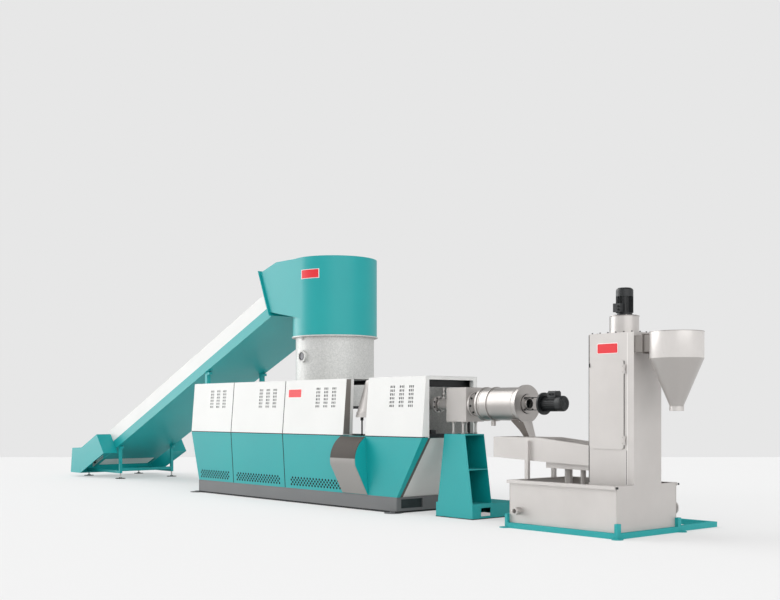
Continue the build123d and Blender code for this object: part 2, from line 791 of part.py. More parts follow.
def extrude_profile(outline, x0, x1):
    """The cover's cross-section between two places, kept apart from the piece."""
    with BuildSketch(Plane.YZ.offset(x0), mode=Mode.PRIVATE) as profile:
        with BuildLine():
            Polyline(*outline, close=True)
        make_face()
    return extrude(profile.sketch, amount=x1 - x0, mode=Mode.PRIVATE)


lower_cover("lower_cover_1", panel_left, joint_1 - half_gap, plinth_left, joint_1 - half_gap)
lower_cover(
    "lower_cover_2", joint_1 + half_gap, joint_2 - half_gap, joint_1 + half_gap, joint_2 - half_gap
)
lower_cover(
    "lower_cover_3", joint_2 + half_gap, block_left, joint_2 + half_gap, block_left
)
lower_cover("lower_cover_4", block_left + half_gap, block_right, block_left + half_gap, plinth_right)

# Curved steel hood on the front, with its teal cheeks
hood_thickness = 8.0
cheek = 8.0


def cover_face_y(z):
    """Depth of the lower covers' front face at a height."""
    share = (z - housing_bottom) / (lower_head_z - housing_bottom)
    return front_bottom_y + share * (front_belt_y - front_bottom_y)


def side_hood_profile(inset, x0, depth):
    """Hood outline: an arc from the belt line to the bulge, then a flat slope."""
    with BuildSketch(Plane.YZ.offset(x0), mode=Mode.PRIVATE) as profile:
        with BuildLine():
            top = (cover_face_y(belt_line - 12) - seat_gap, belt_line - 12 - inset)
            bulge = (side_hood_bulge_y + inset, side_hood_bulge_z)
            foot = (side_hood_foot_y + 1.2 * inset, side_hood_foot_z)
            knee = (bulge[0] + 6.0, bulge[1] - 70.0)
            upper_arc = TangentArc(bulge, top, tangent=(0, 1))
            Line(bulge, knee)
            Line(knee, foot)
            heel = (cover_face_y(side_hood_foot_z) - seat_gap, side_hood_foot_z)
            if heel[0] - foot[0] > 0.01:
                Line(foot, heel)
            Line(heel, upper_arc @ 1)
        make_face()
    return extrude(profile.sketch, amount=depth, mode=Mode.PRIVATE)


with BuildPart() as side_hood:
    add(side_hood_profile(0, side_hood_left, side_hood_right - side_hood_left))
    add(
        side_hood_profile(hood_thickness, side_hood_left, side_hood_right - side_hood_left),
        mode=Mode.SUBTRACT,
    )
save(side_hood, "side_hood")

with BuildPart() as hood_cheeks:
    add(side_hood_profile(hood_thickness + seat_gap, side_hood_left, cheek))
    add(side_hood_profile(hood_thickness + seat_gap, side_hood_right - cheek, cheek))
save(hood_cheeks, "hood_cheeks")

# Slanted end panel below the open end of the housing
panel_inset = 12.0
panel_top = belt_line - 2 * belt_gap
with BuildPart() as end_panel:
    prism(
        side_plane(housing_rear_y - sheet - seat_gap),
        [
            (block_right - panel_inset, panel_top), (plinth_right - panel_inset, housing_bottom),
            (plinth_right - panel_inset - panel_thickness, housing_bottom),
            (block_right - panel_inset - panel_thickness, panel_top),
        ],
        housing_rear_y - sheet - seat_gap - cover_back_y - seat_gap,
    )
save(end_panel, "end_panel")

# End frame round the housing's open right end: two sides and a head
end_frame_x = block_right - sheet - seat_gap
frame_foot = panel_top + seat_gap
with BuildPart() as end_frame:
    slab(
        end_frame_x - post, end_frame_x, cover_back_y + seat_gap, housing_rear_y - sheet - seat_gap,
        frame_foot, housing_top - seat_gap,
    )
    slab(
        end_frame_x - post, end_frame_x, cover_back_y + frame_side, post_rear,
        frame_foot, housing_top - frame_head, mode=Mode.SUBTRACT,
    )
save(end_frame, "end_frame")

# Black frames inside: sill, side bars and head channel at the open end, top rail beside the drum
inner_x1 = end_frame_x - post - seat_gap
inner_x0 = inner_x1 - inner_post
inner_front, inner_back = cover_back_y + seat_gap, housing_rear_y - sheet - seat_gap
inner_top = housing_top - seat_gap
with BuildPart() as inner_frames:
    slab(inner_x0, inner_x1, inner_front, inner_back, inner_beam_bottom, inner_top)
    slab(
        inner_x0 + plate, inner_x1, inner_front, inner_back, inner_beam_bottom + plate,
        inner_top - plate, mode=Mode.SUBTRACT,
    )
    slab(inner_x0, inner_x1, inner_front, inner_front + frame_side, frame_foot, inner_beam_bottom)
    slab(inner_x0, inner_x1, inner_post_front, inner_back, frame_foot, inner_beam_bottom)
    slab(inner_x0, inner_x1, inner_front, inner_back, frame_foot, inner_sill_top)
    slab(
        inner_x1, end_frame_x, cover_back_y + frame_side + seat_gap, post_rear - seat_gap,
        frame_foot, inner_sill_top,
    )
    slab(inner_x0, inner_x1, clamp_y0, clamp_y1, inner_sill_top, clamp_top)
    slab(
        drum_flange_radius + drum_clearance, panel_right - post - seat_gap, post_rear, inner_back,
        inner_top - top_rail_height, inner_top,
    )
save(inner_frames, "inner_frames")

# Rear and left end covers: white above the belt line where the drum leaves room, teal below
rear_inner = housing_rear_y - sheet
with BuildPart() as rear_upper_covers:
    slab(
        panel_left, panel_left + sheet, cover_back_y + seat_gap, housing_rear_y,
        upper_foot_z, housing_top,
    )
    slab(
        panel_left + sheet + seat_gap, -drum_flange_radius - drum_clearance,
        rear_inner, housing_rear_y, upper_foot_z, housing_top,
    )
    slab(feed_opening_x, panel_right, rear_inner, housing_rear_y, upper_foot_z, housing_top)
    slab(block_left, block_right, rear_inner, housing_rear_y, upper_foot_z, housing_top)
save(rear_upper_covers, "rear_upper_covers")

with BuildPart() as rear_lower_covers:
    prism(
        side_plane(housing_rear_y),
        [
            (panel_left, lower_head_z), (plinth_left, housing_bottom),
            (plinth_left + sheet, housing_bottom), (panel_left + sheet, lower_head_z),
        ],
        housing_rear_y - cover_back_y - seat_gap,
    )
    prism(
        side_plane(housing_rear_y),
        [
            (panel_left + sheet + seat_gap, lower_head_z), (plinth_left + sheet + seat_gap, housing_bottom),
            (plinth_right, housing_bottom), (block_right, lower_head_z),
        ],
        sheet,
    )
save(rear_lower_covers, "rear_lower_covers")

# Roof sheets, cut away round the drum
with BuildPart() as roof_covers:
    slab(
        panel_left + sheet + seat_gap, panel_right, cover_back_y + seat_gap, rear_inner - seat_gap,
        housing_top, housing_top + sheet,
    )
    slab(
        block_left, block_right, cover_back_y + seat_gap, rear_inner - seat_gap,
        housing_top, housing_top + sheet,
    )
    post_at(0, 0, housing_top - 1, housing_top + sheet + 1, drum_radius + drum_clearance,
            mode=Mode.SUBTRACT)
save(roof_covers, "roof_covers")

# Feed cone in the gap, standing on four rods
with BuildPart() as feed_cone:
    with BuildSketch(Plane((cone_x, extruder_y, cone_bottom), x_dir=(1, 0, 0), z_dir=(0, -1, 0))):
        with BuildLine():
            Polyline(
                (0, 0), (cone_rim_radius, 0), (cone_rim_radius, cone_rim_height),
                (cone_step_radius, cone_rim_height), (cone_step_radius, cone_step_height),
                (cone_bottom_radius, cone_step_height),
                (cone_top_radius, cone_top - cone_bottom), (0, cone_top - cone_bottom), close=True,
            )
        make_face()
    revolve(axis=Axis((cone_x, extruder_y, 0), (0, 0, 1)))
save(feed_cone, "feed_cone")

with BuildPart() as cone_rods:
    for x in (cone_x - cone_rod_spread_x, cone_x + cone_rod_spread_x):
        for y in (extruder_y - cone_rod_spread_y, extruder_y + cone_rod_spread_y):
            post_at(x, y, plinth_top + plate, cone_bottom, cone_rod_radius)
            post_at(x, y, cone_bottom - cone_nut_height, cone_bottom, cone_nut_radius)
    base_reach = cone_rod_spread_x + cone_base_margin
    slab(
        cone_x - base_reach, cone_x + base_reach, cone_base_front, cone_base_back,
        plinth_top, plinth_top + plate,
    )
save(cone_rods, "cone_rods")

# Extruder barrel from the cone to the screen changer
with BuildPart() as extruder_barrel:
    disc_along_line(cone_x, barrel_flange_x, barrel_radius)
    disc_along_line(barrel_flange_x, barrel_flange_x + barrel_flange_thickness, barrel_flange_radius)
    disc_along_line(barrel_flange_x + barrel_flange_thickness, block_x0, barrel_radius)
    disc_along_line(block_x0 - barrel_flange_thickness, block_x0, barrel_flange_radius)
    add(feed_cone.part, mode=Mode.SUBTRACT)
save(extruder_barrel, "extruder_barrel")

# Screen changer block on its four studs
with BuildPart() as screen_changer:
    slab(block_x0, block_x1, block_y0, block_y1, block_z0, block_z1)
    chamfer(screen_changer.edges().filter_by(Axis.Z), block_chamfer)
save(screen_changer, "screen_changer")

with BuildPart() as changer_studs:
    for x in (stud_left, stud_right):
        for y in (stud_front, stud_back):
            post_at(x, y, stand_height, block_z0, stud_radius)
save(changer_studs, "changer_studs")

# Tapered stand, open towards the pelletizer, with one shelf
stand_outline = [
    (stand_left, stand_base_height), (stand_right, stand_base_height),
    (stand_top_right, stand_height), (stand_top_left, stand_height),
]


def stand_edge(z, foot_x, head_x):
    """Place of the stand's slanted edge at a height."""
    share = (z - stand_base_height) / (stand_height - stand_base_height)
    return foot_x + share * (head_x - foot_x)


with BuildPart() as changer_stand:
    prism(side_plane(stand_back), stand_outline, stand_back - stand_front)
    low, high = stand_base_height + plate, stand_height - 2 * plate
    for z0, z1 in ((low, shelf_z), (shelf_z + 2 * plate, high)):
        bay = [
            (stand_edge(z0, stand_left, stand_top_left) + plate, z0),
            (stand_edge(z0, stand_right, stand_top_right) + 1, z0),
            (stand_edge(z1, stand_right, stand_top_right) + 1, z1),
            (stand_edge(z1, stand_left, stand_top_left) + plate, z1),
        ]
        prism(
            side_plane(stand_back - plate), bay, stand_back - stand_front - 2 * plate,
            mode=Mode.SUBTRACT,
        )
save(changer_stand, "changer_stand")

# Base box of the stand, open below, with fork pockets through its ends
with BuildPart() as stand_base:
    slab(stand_base_left, stand_right, stand_front, stand_base_back, 0, stand_base_height)
    slab(
        stand_base_left + plate, stand_right - plate, stand_front + plate, stand_base_back - plate,
        -1, stand_base_height - plate, mode=Mode.SUBTRACT,
    )
    slab(
        stand_base_left - 1, stand_right + 1, fork_y0, fork_y1, fork_z0, fork_z1,
        mode=Mode.SUBTRACT,
    )
save(stand_base, "stand_base")

# Pelletizer: adapter with neck, drum shell, end plate with bore
with BuildPart() as die_adapter:
    disc_along_line(block_x1, block_x1 + adapter_thickness, adapter_radius)
    disc_along_line(block_x1 + adapter_thickness, cutter_left, adapter_neck_radius)
save(die_adapter, "die_adapter")


def line_radius(x, radius):
    """Side-view point above the extruder's axis."""
    return (x, extruder_z + radius)


def revolved_along_line(points):
    """A turned piece about the extruder's axis, from its side-view half outline."""
    with BuildSketch(side_plane(extruder_y), mode=Mode.PRIVATE) as half:
        with BuildLine():
            Polyline(*[line_radius(x, radius) for x, radius in points], close=True)
        make_face()
    revolve(half.sketch, axis=Axis((0, extruder_y, extruder_z), (1, 0, 0)))


shell_bore = cutter_radius - cutter_wall
seam_x0 = cutter_left + seam_ring_offset
seam_x1 = seam_x0 + seam_ring_width
with BuildPart() as cutter_housing:
    revolved_along_line([
        (cutter_left, 0), (cutter_left, cutter_ring_radius),
        (cutter_left + left_ring_width, cutter_ring_radius),
        (cutter_left + left_ring_width, cutter_radius),
        (seam_x0, cutter_radius), (seam_x0, cutter_ring_radius),
        (seam_x1, cutter_ring_radius), (seam_x1, cutter_radius),
        (cutter_right, cutter_radius), (cutter_right, shell_bore),
        (cutter_left + cutter_wall, shell_bore), (cutter_left + cutter_wall, 0),
    ])
    nozzle_end = extruder_z - cutter_radius - nozzle_reach
    post_at(nozzle_x, extruder_y, nozzle_end, extruder_z - shell_bore + 5, nozzle_radius)
    post_at(nozzle_x, extruder_y, nozzle_end, extruder_z - shell_bore + 10, nozzle_bore,
            mode=Mode.SUBTRACT)
    slab(
        chute_x0, chute_x0 + chute_slot_length,
        extruder_y - chute_half_width, extruder_y + chute_half_width,
        extruder_z - cutter_radius - 5, extruder_z - shell_bore + 50, mode=Mode.SUBTRACT,
    )
save(cutter_housing, "cutter_housing")

end_plate_right = cutter_right + cutter_plate_thickness
end_flange_right = end_plate_right + cutter_flange_thickness
with BuildPart() as cutter_end_plate:
    disc_along_line(cutter_right, end_plate_right, cutter_plate_radius)
    disc_along_line(end_plate_right, end_flange_right, cutter_flange_radius)
    disc_along_line(cutter_right, end_flange_right, cutter_bore_radius, mode=Mode.SUBTRACT)
save(cutter_end_plate, "cutter_end_plate")

yoke_end = end_flange_right + yoke_length
with BuildPart() as motor_yoke:
    for z in (extruder_z - yoke_half_height, extruder_z + yoke_half_height):
        slab(
            end_flange_right, yoke_end, extruder_y - yoke_half_width, extruder_y + yoke_half_width,
            z - yoke_plate / 2, z + yoke_plate / 2,
        )
save(motor_yoke, "motor_yoke")

with BuildPart() as cutter_motor:
    body_x = yoke_end + cutter_motor_flange_thickness
    finned_body(
        Plane((body_x, extruder_y, extruder_z), x_dir=(0, 1, 0), z_dir=(1, 0, 0)),
        cutter_motor_length - cutter_motor_flange_thickness, cutter_motor_radius,
        cutter_motor_cowl_length,
    )
    fillet(cutter_motor.faces().sort_by(Axis.X)[-1].edges(), cutter_motor_cowl_rounding)
    disc_along_line(yoke_end, body_x, cutter_motor_flange_radius)
    box_top = extruder_z + terminal_box_rise
    box_side, box_corner = terminal_box_half_width, terminal_box_corner
    terminal_box = [
        (extruder_y - box_side, extruder_z), (extruder_y + box_side, extruder_z),
        (extruder_y + box_side, box_top - box_corner), (extruder_y + box_side - box_corner, box_top),
        (extruder_y - box_side + box_corner, box_top), (extruder_y - box_side, box_top - box_corner),
    ]
    prism(Plane.YZ.offset(yoke_end + terminal_box_offset), terminal_box, terminal_box_length)
save(cutter_motor, "cutter_motor")


def chute_form(inset, margin):
    """Chute body: its side outline, narrowed towards the foot in the end view."""
    with BuildSketch(side_plane(extruder_y + chute_half_width), mode=Mode.PRIVATE) as side:
        with BuildLine():
            Polyline(
                (chute_x0 + inset, chute_top + margin), (chute_x1 - inset, chute_top + margin),
                (chute_x1 - inset, chute_knee), (chute_foot_x1 - inset, chute_foot_z - margin),
                (chute_foot_x0 + inset, chute_foot_z - margin),
                (chute_left_foot + inset, chute_left_foot_z),
                (chute_x0 + inset, chute_knee), close=True,
            )
        make_face()
    with BuildSketch(Plane.YZ.offset(chute_x0), mode=Mode.PRIVATE) as end:
        with BuildLine():
            head, foot = chute_half_width - inset, chute_foot_half_width - inset
            Polyline(
                (extruder_y - head, chute_top + margin), (extruder_y + head, chute_top + margin),
                (extruder_y + head, chute_knee), (extruder_y + foot, chute_foot_z - margin),
                (extruder_y - foot, chute_foot_z - margin), (extruder_y - head, chute_knee), close=True,
            )
        make_face()
    length = chute_foot_x1 - chute_x0
    along = extrude(side.sketch, amount=2 * chute_half_width, mode=Mode.PRIVATE)
    across = extrude(end.sketch, amount=length, mode=Mode.PRIVATE)
    return along & across


# Pellet chute from the cutter down to the tray, ending in a round spout
with BuildPart() as pellet_chute:
    add(chute_form(0, 0))
    post_at(spout_x, extruder_y, spout_bottom, chute_foot_z + chute_wall, spout_radius)
    add(chute_form(chute_wall, 1), mode=Mode.SUBTRACT)
    post_at(spout_x, extruder_y, spout_bottom - 1, chute_foot_z + chute_wall, spout_bore,
            mode=Mode.SUBTRACT)
    disc_along_line(cutter_left, cutter_right, cutter_radius, mode=Mode.SUBTRACT)
    disc_along_line(cutter_right - 1, end_plate_right, cutter_plate_radius, mode=Mode.SUBTRACT)
save(pellet_chute, "pellet_chute")

# Water tank with folded rims, cut away where the tower stands
with BuildPart() as water_tank:
    slab(tank_x0, tank_x1, tank_y0, tank_y1, tank_z0, tank_z1)
    for y0, y1 in ((tank_y0 - rim_out, tank_y0 + rim_in), (tank_y1 - rim_in, tank_y1 + rim_out)):
        slab(tank_x0 - rim_out, tank_x1, y0, y1, tank_z1 - rim_height, tank_z1)
    slab(
        tank_x0 - rim_out, tank_x0 + rim_in, tank_y0, tank_y1, tank_z1 - rim_height, tank_z1
    )
    slab(
        tank_x0 + tank_wall, tank_x1 - tank_wall, tank_y0 + tank_wall, tank_y1 - tank_wall,
        tank_z0 + tank_wall, tank_z1 - sheet, mode=Mode.SUBTRACT,
    )
    slab(
        tank_x0 + rim_in, tank_x1 - tank_wall, tank_y0 + rim_in, tank_y1 - rim_in,
        tank_z1 - 2 * sheet, tank_z1 + 1, mode=Mode.SUBTRACT,
    )
    slab(
        tower_x0 - seat_gap, tower_x1 + 1, tower_y0 - seat_gap, tower_y1 + seat_gap, tower_z0,
        tank_z1 + 1, mode=Mode.SUBTRACT,
    )
    with BuildSketch(side_plane(tank_y0)):
        with Locations((tank_nozzle_x, tank_nozzle_z)):
            Circle(tank_nozzle_radius)
            Circle(tank_nozzle_bore, mode=Mode.SUBTRACT)
    extrude(amount=tank_nozzle_reach)
    for y, radius, length in (
        (tank_y1 + drain_reach, drain_radius, drain_reach),
        (tank_y1 + drain_reach, drain_flange_radius, drain_flange_thickness),
    ):
        with BuildSketch(side_plane(y)):
            with Locations((drain_x, drain_z)):
                Circle(radius)
        extrude(amount=length)
    with BuildSketch(side_plane(tank_y1 + drain_reach)):
        with Locations((drain_x, drain_z)):
            Circle(drain_bore)
    extrude(amount=drain_reach, mode=Mode.SUBTRACT)
save(water_tank, "water_tank")

# Floor frame of the tank with corner posts, foot plates and an open extension
frame_x0, frame_x1 = tank_x0 - frame_margin, tank_x1 + frame_margin
frame_y0, frame_y1 = tank_y0 - frame_margin, tank_y1 + frame_margin
with BuildPart() as tank_frame:
    bar = frame_bar
    for y in (frame_y0, frame_y1 - bar):
        slab(frame_x0, frame_x1, y, y + bar, 0, frame_bar)
    for x in (frame_x0, (frame_x0 + frame_x1 - bar) / 2, frame_x1 - bar):
        slab(x, x + bar, frame_y0, frame_y1, 0, frame_bar)
    for x in (frame_extension_left, tank_x1 - bar):
        slab(x, x + bar, frame_y1 - bar, frame_extension_y, 0, frame_bar)
    slab(frame_extension_left, tank_x1, frame_extension_y - bar, frame_extension_y, 0, frame_bar)
    for x0, x1 in ((frame_x0, tank_x0), (tank_x1, frame_x1)):
        for y0, y1 in ((frame_y0, frame_y0 + bar), (frame_y1 - bar, frame_y1)):
            slab(x0, x1, y0, y1, 0, corner_post_height)
    for x in (frame_x0, frame_x1):
        for y in (frame_y0, frame_y1):
            post_at(x, y, 0, tank_foot_height, tank_foot_radius)
save(tank_frame, "tank_frame")

# Open dewatering tray
tray_outer = [
    (tray_x0, tray_top_left), (tray_x0, tray_floor_left), (tray_bend_x, tray_floor_bend),
    (tower_x0 - seat_gap, tray_floor_right), (tower_x0 - seat_gap, tray_top_right),
    (tray_bend_x, tray_top_left),
]
tray_inner = [
    (tray_x0 + tank_wall, tray_top_left + 1), (tray_x0 + tank_wall, tray_floor_left + tank_wall),
    (tray_bend_x, tray_floor_bend + tank_wall),
    (tower_x0 + 1, tray_floor_right + tank_wall), (tower_x0 + 1, tray_top_left + 1),
]
with BuildPart() as pellet_tray:
    prism(side_plane(tray_y1), tray_outer, tray_y1 - tray_y0)
    prism(
        side_plane(tray_y1 - tank_wall), tray_inner, tray_y1 - tray_y0 - 2 * tank_wall,
        mode=Mode.SUBTRACT,
    )
save(pellet_tray, "pellet_tray")

# Posts, drain pan and drain pipes under the tray
with BuildPart() as tray_supports:
    post_x0 = tank_x0 - tray_post_inset
    for y0, y1 in ((tray_y0 - tray_post_depth, tray_y0), (tray_y1, tray_y1 + tray_post_depth)):
        slab(post_x0, post_x0 + tray_post_width, y0, y1, tank_z1, tray_top_left - tray_post_drop)
    pan = [
        (pan_x0, tray_floor_bend), (pan_x1, tray_floor_bend),
        (pan_x1, pan_bottom_right), (pan_x0, pan_bottom_left),
    ]
    prism(side_plane(tray_y1 - pan_margin), pan, tray_y1 - tray_y0 - 2 * pan_margin)
    for x, radius in pan_pipes:
        post_at(x, pan_pipe_y, pan_pipe_bottom, pan_bottom_left, radius)
    prism(side_plane(tray_y1), tray_outer, tray_y1 - tray_y0, mode=Mode.SUBTRACT)
save(tray_supports, "tray_supports")

# Dryer tower shell, hollow, with a door opening in front
with BuildPart() as dryer_tower:
    slab(tower_x0, tower_x1, tower_y0, tower_y1, tower_z0, tower_top - plate)
    slab(
        tower_x0 + tower_wall, tower_x1 - tower_wall, tower_y0 + tower_wall, tower_y1 - tower_wall,
        tower_z0 + tower_wall, tower_top, mode=Mode.SUBTRACT,
    )
    slab(
        door_x0 + door_lap, door_x1 - door_lap, tower_y0 - 1, tower_y0 + tower_wall + 1,
        door_z0 + door_lap, door_z1 - door_lap, mode=Mode.SUBTRACT,
    )
    slab(
        tower_x0 - 1, tower_x0 + tower_wall + 1, tray_y0 + tank_wall, tower_y1 - tower_wall,
        tray_floor_right + tank_wall, tray_top_right - tower_inlet_margin, mode=Mode.SUBTRACT,
    )
    slab(
        tower_x1 - tower_strip_width, tower_x1, tower_y0 - tower_strip_thickness, tower_y0,
        tank_z1 + seat_gap, tower_top - plate,
    )
    slab(
        tower_x1 - tower_wall - 1, tower_x1 + 1, duct_y0 + tower_wall, duct_y1 - tower_wall,
        duct_z0 + tower_wall, duct_z1 - tower_wall, mode=Mode.SUBTRACT,
    )
save(dryer_tower, "dryer_tower")

# Hinged tower door with rounded corners and its knuckles
hinge_y = tower_y0 - door_gap - door_thickness - hinge_leaf_back
knuckle_third = hinge_height / 3
with BuildPart() as tower_door:
    with BuildSketch(side_plane(tower_y0 - door_gap)):
        with Locations(((door_x0 + door_x1) / 2, (door_z0 + door_z1) / 2)):
            RectangleRounded(door_x1 - door_x0, door_z1 - door_z0, door_corner)
    extrude(amount=door_thickness)
    for z in hinge_heights:
        z0, z1 = z - knuckle_third / 2 + knuckle_gap, z + knuckle_third / 2 - knuckle_gap
        slab(
            door_x1 - hinge_leaf_reach, hinge_x, hinge_y - hinge_leaf_front,
            hinge_y + hinge_leaf_back, z0, z1,
        )
        post_at(hinge_x, hinge_y, z0, z1, hinge_knuckle_radius)
        post_at(hinge_x, hinge_y, z - knuckle_third, z + knuckle_third,
                hinge_pin_radius + pin_clearance, mode=Mode.SUBTRACT)
save(tower_door, "tower_door")

with BuildPart() as door_hinges:
    for z in hinge_heights:
        for z0, z1 in (
            (z - hinge_height / 2, z - knuckle_third / 2),
            (z + knuckle_third / 2, z + hinge_height / 2),
        ):
            post_at(hinge_x, hinge_y, z0, z1, hinge_knuckle_radius)
            slab(
                hinge_x, hinge_x + hinge_wing_reach, hinge_y - hinge_leaf_front, tower_y0, z0, z1,
            )
        post_at(hinge_x, hinge_y, z - hinge_height / 2, z + hinge_height / 2, hinge_pin_radius)
save(door_hinges, "door_hinges")

# Tower lid, motor pedestal and upright motor
with BuildPart() as tower_lid:
    slab(
        tower_x0, tower_x1, tower_y0, tower_y1,
        tower_top - plate, tower_top,
    )
save(tower_lid, "tower_lid")

with BuildPart() as motor_pedestal:
    post_at(pedestal_x, pedestal_y, tower_top, pedestal_top, pedestal_radius)
save(motor_pedestal, "motor_pedestal")

with BuildPart() as dryer_motor:
    motor_foot = pedestal_top + dryer_motor_flange_thickness
    body_foot = motor_foot + dryer_motor_neck_height
    finned_body(
        Plane((pedestal_x, pedestal_y, body_foot)),
        dryer_motor_top - body_foot, dryer_motor_radius, dryer_motor_cowl_length,
    )
    fillet(dryer_motor.faces().sort_by(Axis.Z)[-1].edges(), dryer_motor_cowl_rounding)
    post_at(pedestal_x, pedestal_y, motor_foot, body_foot, dryer_motor_neck_radius)
    post_at(pedestal_x, pedestal_y, pedestal_top, motor_foot, dryer_motor_flange_radius)
    box_front = pedestal_y - dryer_box_reach
    slab(
        pedestal_x - dryer_box_half_width, pedestal_x + dryer_box_half_width,
        box_front, box_front + dryer_box_depth, dryer_box_z0, dryer_box_z1,
    )
save(dryer_motor, "dryer_motor")

# Cyclone shell with cone and spout
with BuildPart() as cyclone:
    with BuildSketch(Plane.XZ.offset(-cyclone_y)):
        with BuildLine():
            wall = cyclone_wall
            Polyline(
                (cyclone_x, cyclone_top), (cyclone_x + cyclone_radius, cyclone_top),
                (cyclone_x + cyclone_radius, cyclone_shoulder),
                (cyclone_x + cyclone_throat_radius, cyclone_throat_z),
                (cyclone_x + cyclone_throat_radius, cyclone_bottom),
                (cyclone_x + cyclone_throat_radius - wall, cyclone_bottom),
                (cyclone_x + cyclone_throat_radius - wall, cyclone_throat_z),
                (cyclone_x + cyclone_radius - wall, cyclone_shoulder),
                (cyclone_x + cyclone_radius - wall, cyclone_top - wall),
                (cyclone_x, cyclone_top - wall), close=True,
            )
        make_face()
    revolve(axis=Axis((cyclone_x, cyclone_y, 0), (0, 0, 1)))
save(cyclone, "cyclone")

# Duct from the tower into the cyclone
with BuildPart() as cyclone_duct:
    slab(tower_x1, cyclone_x, duct_y0, duct_y1, duct_z0, duct_z1)
    margin = duct_flange_margin
    slab(
        duct_flange_x, duct_flange_x + duct_flange_thickness, duct_y0 - margin, duct_y1 + margin,
        duct_z0 - margin, duct_z1 + margin,
    )
    slab(
        tower_x1 - 1, cyclone_x, duct_y0 + tower_wall, duct_y1 - tower_wall,
        duct_z0 + tower_wall, duct_z1 - tower_wall, mode=Mode.SUBTRACT,
    )
    post_at(cyclone_x, cyclone_y, duct_z0 - 2 * margin, duct_z1 + 2 * margin, cyclone_radius,
            mode=Mode.SUBTRACT)
save(cyclone_duct, "cyclone_duct")
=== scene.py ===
"""Plastics recycling line with a cutter compactor: finishes and fine detail around the fixed CAD frame."""
import json
import math

import bpy
from mathutils import Matrix, Vector


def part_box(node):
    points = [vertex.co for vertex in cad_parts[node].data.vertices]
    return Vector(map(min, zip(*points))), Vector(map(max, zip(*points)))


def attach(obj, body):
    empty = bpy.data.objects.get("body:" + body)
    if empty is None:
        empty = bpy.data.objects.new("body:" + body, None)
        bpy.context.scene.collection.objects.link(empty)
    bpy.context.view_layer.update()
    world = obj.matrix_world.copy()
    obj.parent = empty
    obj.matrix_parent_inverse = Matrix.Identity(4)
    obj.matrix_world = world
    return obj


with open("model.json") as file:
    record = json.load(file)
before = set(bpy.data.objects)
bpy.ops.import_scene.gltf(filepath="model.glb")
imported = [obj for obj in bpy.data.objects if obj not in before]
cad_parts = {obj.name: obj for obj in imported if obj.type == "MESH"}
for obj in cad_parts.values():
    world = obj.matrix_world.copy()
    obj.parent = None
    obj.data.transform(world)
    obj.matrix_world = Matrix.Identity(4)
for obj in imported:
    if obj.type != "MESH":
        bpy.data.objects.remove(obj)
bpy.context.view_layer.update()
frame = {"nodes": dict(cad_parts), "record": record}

# Camera: where the photographer stood, in metres and degrees
camera_place = (15.26, -11.825, 1.5)
camera_turn = 49.32
camera_lens = 50.0
camera_sensor = 36.0
horizon_shift = 0.1427

# Studio, in metres and degrees
floor_far_depth = 35.5
floor_width, floor_length = 160.0, 130.0
wall_colour = "#E7E7E7"
floor_colour = "#EDEDED"
ambient_strength = 0.58
ceiling_strength, ceiling_from, ceiling_full = 0.35, 0.40, 0.75
floor_glow = 0.5
key_direction, key_strength, key_spread = (-0.895, -0.275, 0.350), 2.85, 64.0
fill_direction, fill_strength, fill_spread = (0.86, -0.32, 0.42), 1.4, 70.0
front_direction, front_strength, front_spread = (0.10, -0.85, 0.50), 0.2, 90.0


def linear(hex_colour):
    """An sRGB hex colour as linear RGBA."""
    channels = [int(hex_colour[i:i + 2], 16) / 255 for i in (1, 3, 5)]
    return [c / 12.92 if c <= 0.04045 else ((c + 0.055) / 1.055) ** 2.4 for c in channels] + [1.0]


def add_node(tree, kind, settings=None, links=None):
    """Add one shader node, set its sockets or options, and link outputs into its inputs."""
    node = tree.nodes.new(kind)
    for key, value in (settings or {}).items():
        if isinstance(key, int) or key in node.inputs:
            node.inputs[key].default_value = value
        else:
            setattr(node, key, value)
    for key, output in (links or {}).items():
        tree.links.new(output, node.inputs[key])
    return node


# Materials

# Directions of the grinding lines: how far the pattern is drawn out along X, Y and Z
along_line = (60.0, 1.0, 1.0)
upright = (1.0, 1.0, 60.0)

# Widths and depths of the surface patterns, in metres
peel_width, peel_depth = 0.008, 0.0003
crystal_width, grain_width, grain_depth = 0.018, 0.012, 0.0008
grinding_width, grinding_depth = 0.004, 0.0004
skin_width, skin_depth = 0.01, 0.001
weave_width, weave_depth = 0.012, 0.0008
# How softly the painted shade of the hood and cyclone changes at its height, in metres
shade_blend = 0.004

# Dust on level tops: how far up a face looks where it starts and where it is full, and what it adds
dust_from, dust_full, dust_roughness = 0.75, 0.98, 0.55


def new_material(name):
    """An empty material with its output node and the object's own coordinates."""
    material = bpy.data.materials.new(name)
    material.use_nodes = True
    tree = material.node_tree
    tree.nodes.clear()
    output = add_node(tree, "ShaderNodeOutputMaterial")
    coordinates = add_node(tree, "ShaderNodeTexCoord").outputs["Object"]
    return material, tree, output, coordinates


def two_tone(tree, factor, dark, light, low=0.3, high=0.7):
    """Colour that goes from dark to light with a pattern's value."""
    ramp = add_node(tree, "ShaderNodeValToRGB", links={"Fac": factor})
    ramp.color_ramp.elements[0].position = low
    ramp.color_ramp.elements[1].position = high
    ramp.color_ramp.elements[0].color = linear(dark)
    ramp.color_ramp.elements[1].color = linear(light)
    return ramp.outputs["Color"]


def noise(tree, coordinates, size, detail=3.0, stretch=(1.0, 1.0, 1.0)):
    """Noise with features of one size in metres, stretched along an axis where asked."""
    place = add_node(
        tree, "ShaderNodeMapping", {"Scale": tuple(1.0 / s for s in stretch)}, {"Vector": coordinates}
    )
    return add_node(
        tree, "ShaderNodeTexNoise", {"Scale": 1.0 / size, "Detail": detail},
        {"Vector": place.outputs["Vector"]},
    ).outputs["Fac"]


def relief(tree, height, depth, strength):
    """Bump from a pattern, with its depth in metres."""
    return add_node(
        tree, "ShaderNodeBump", {"Strength": strength, "Distance": depth}, {"Height": height}
    ).outputs["Normal"]


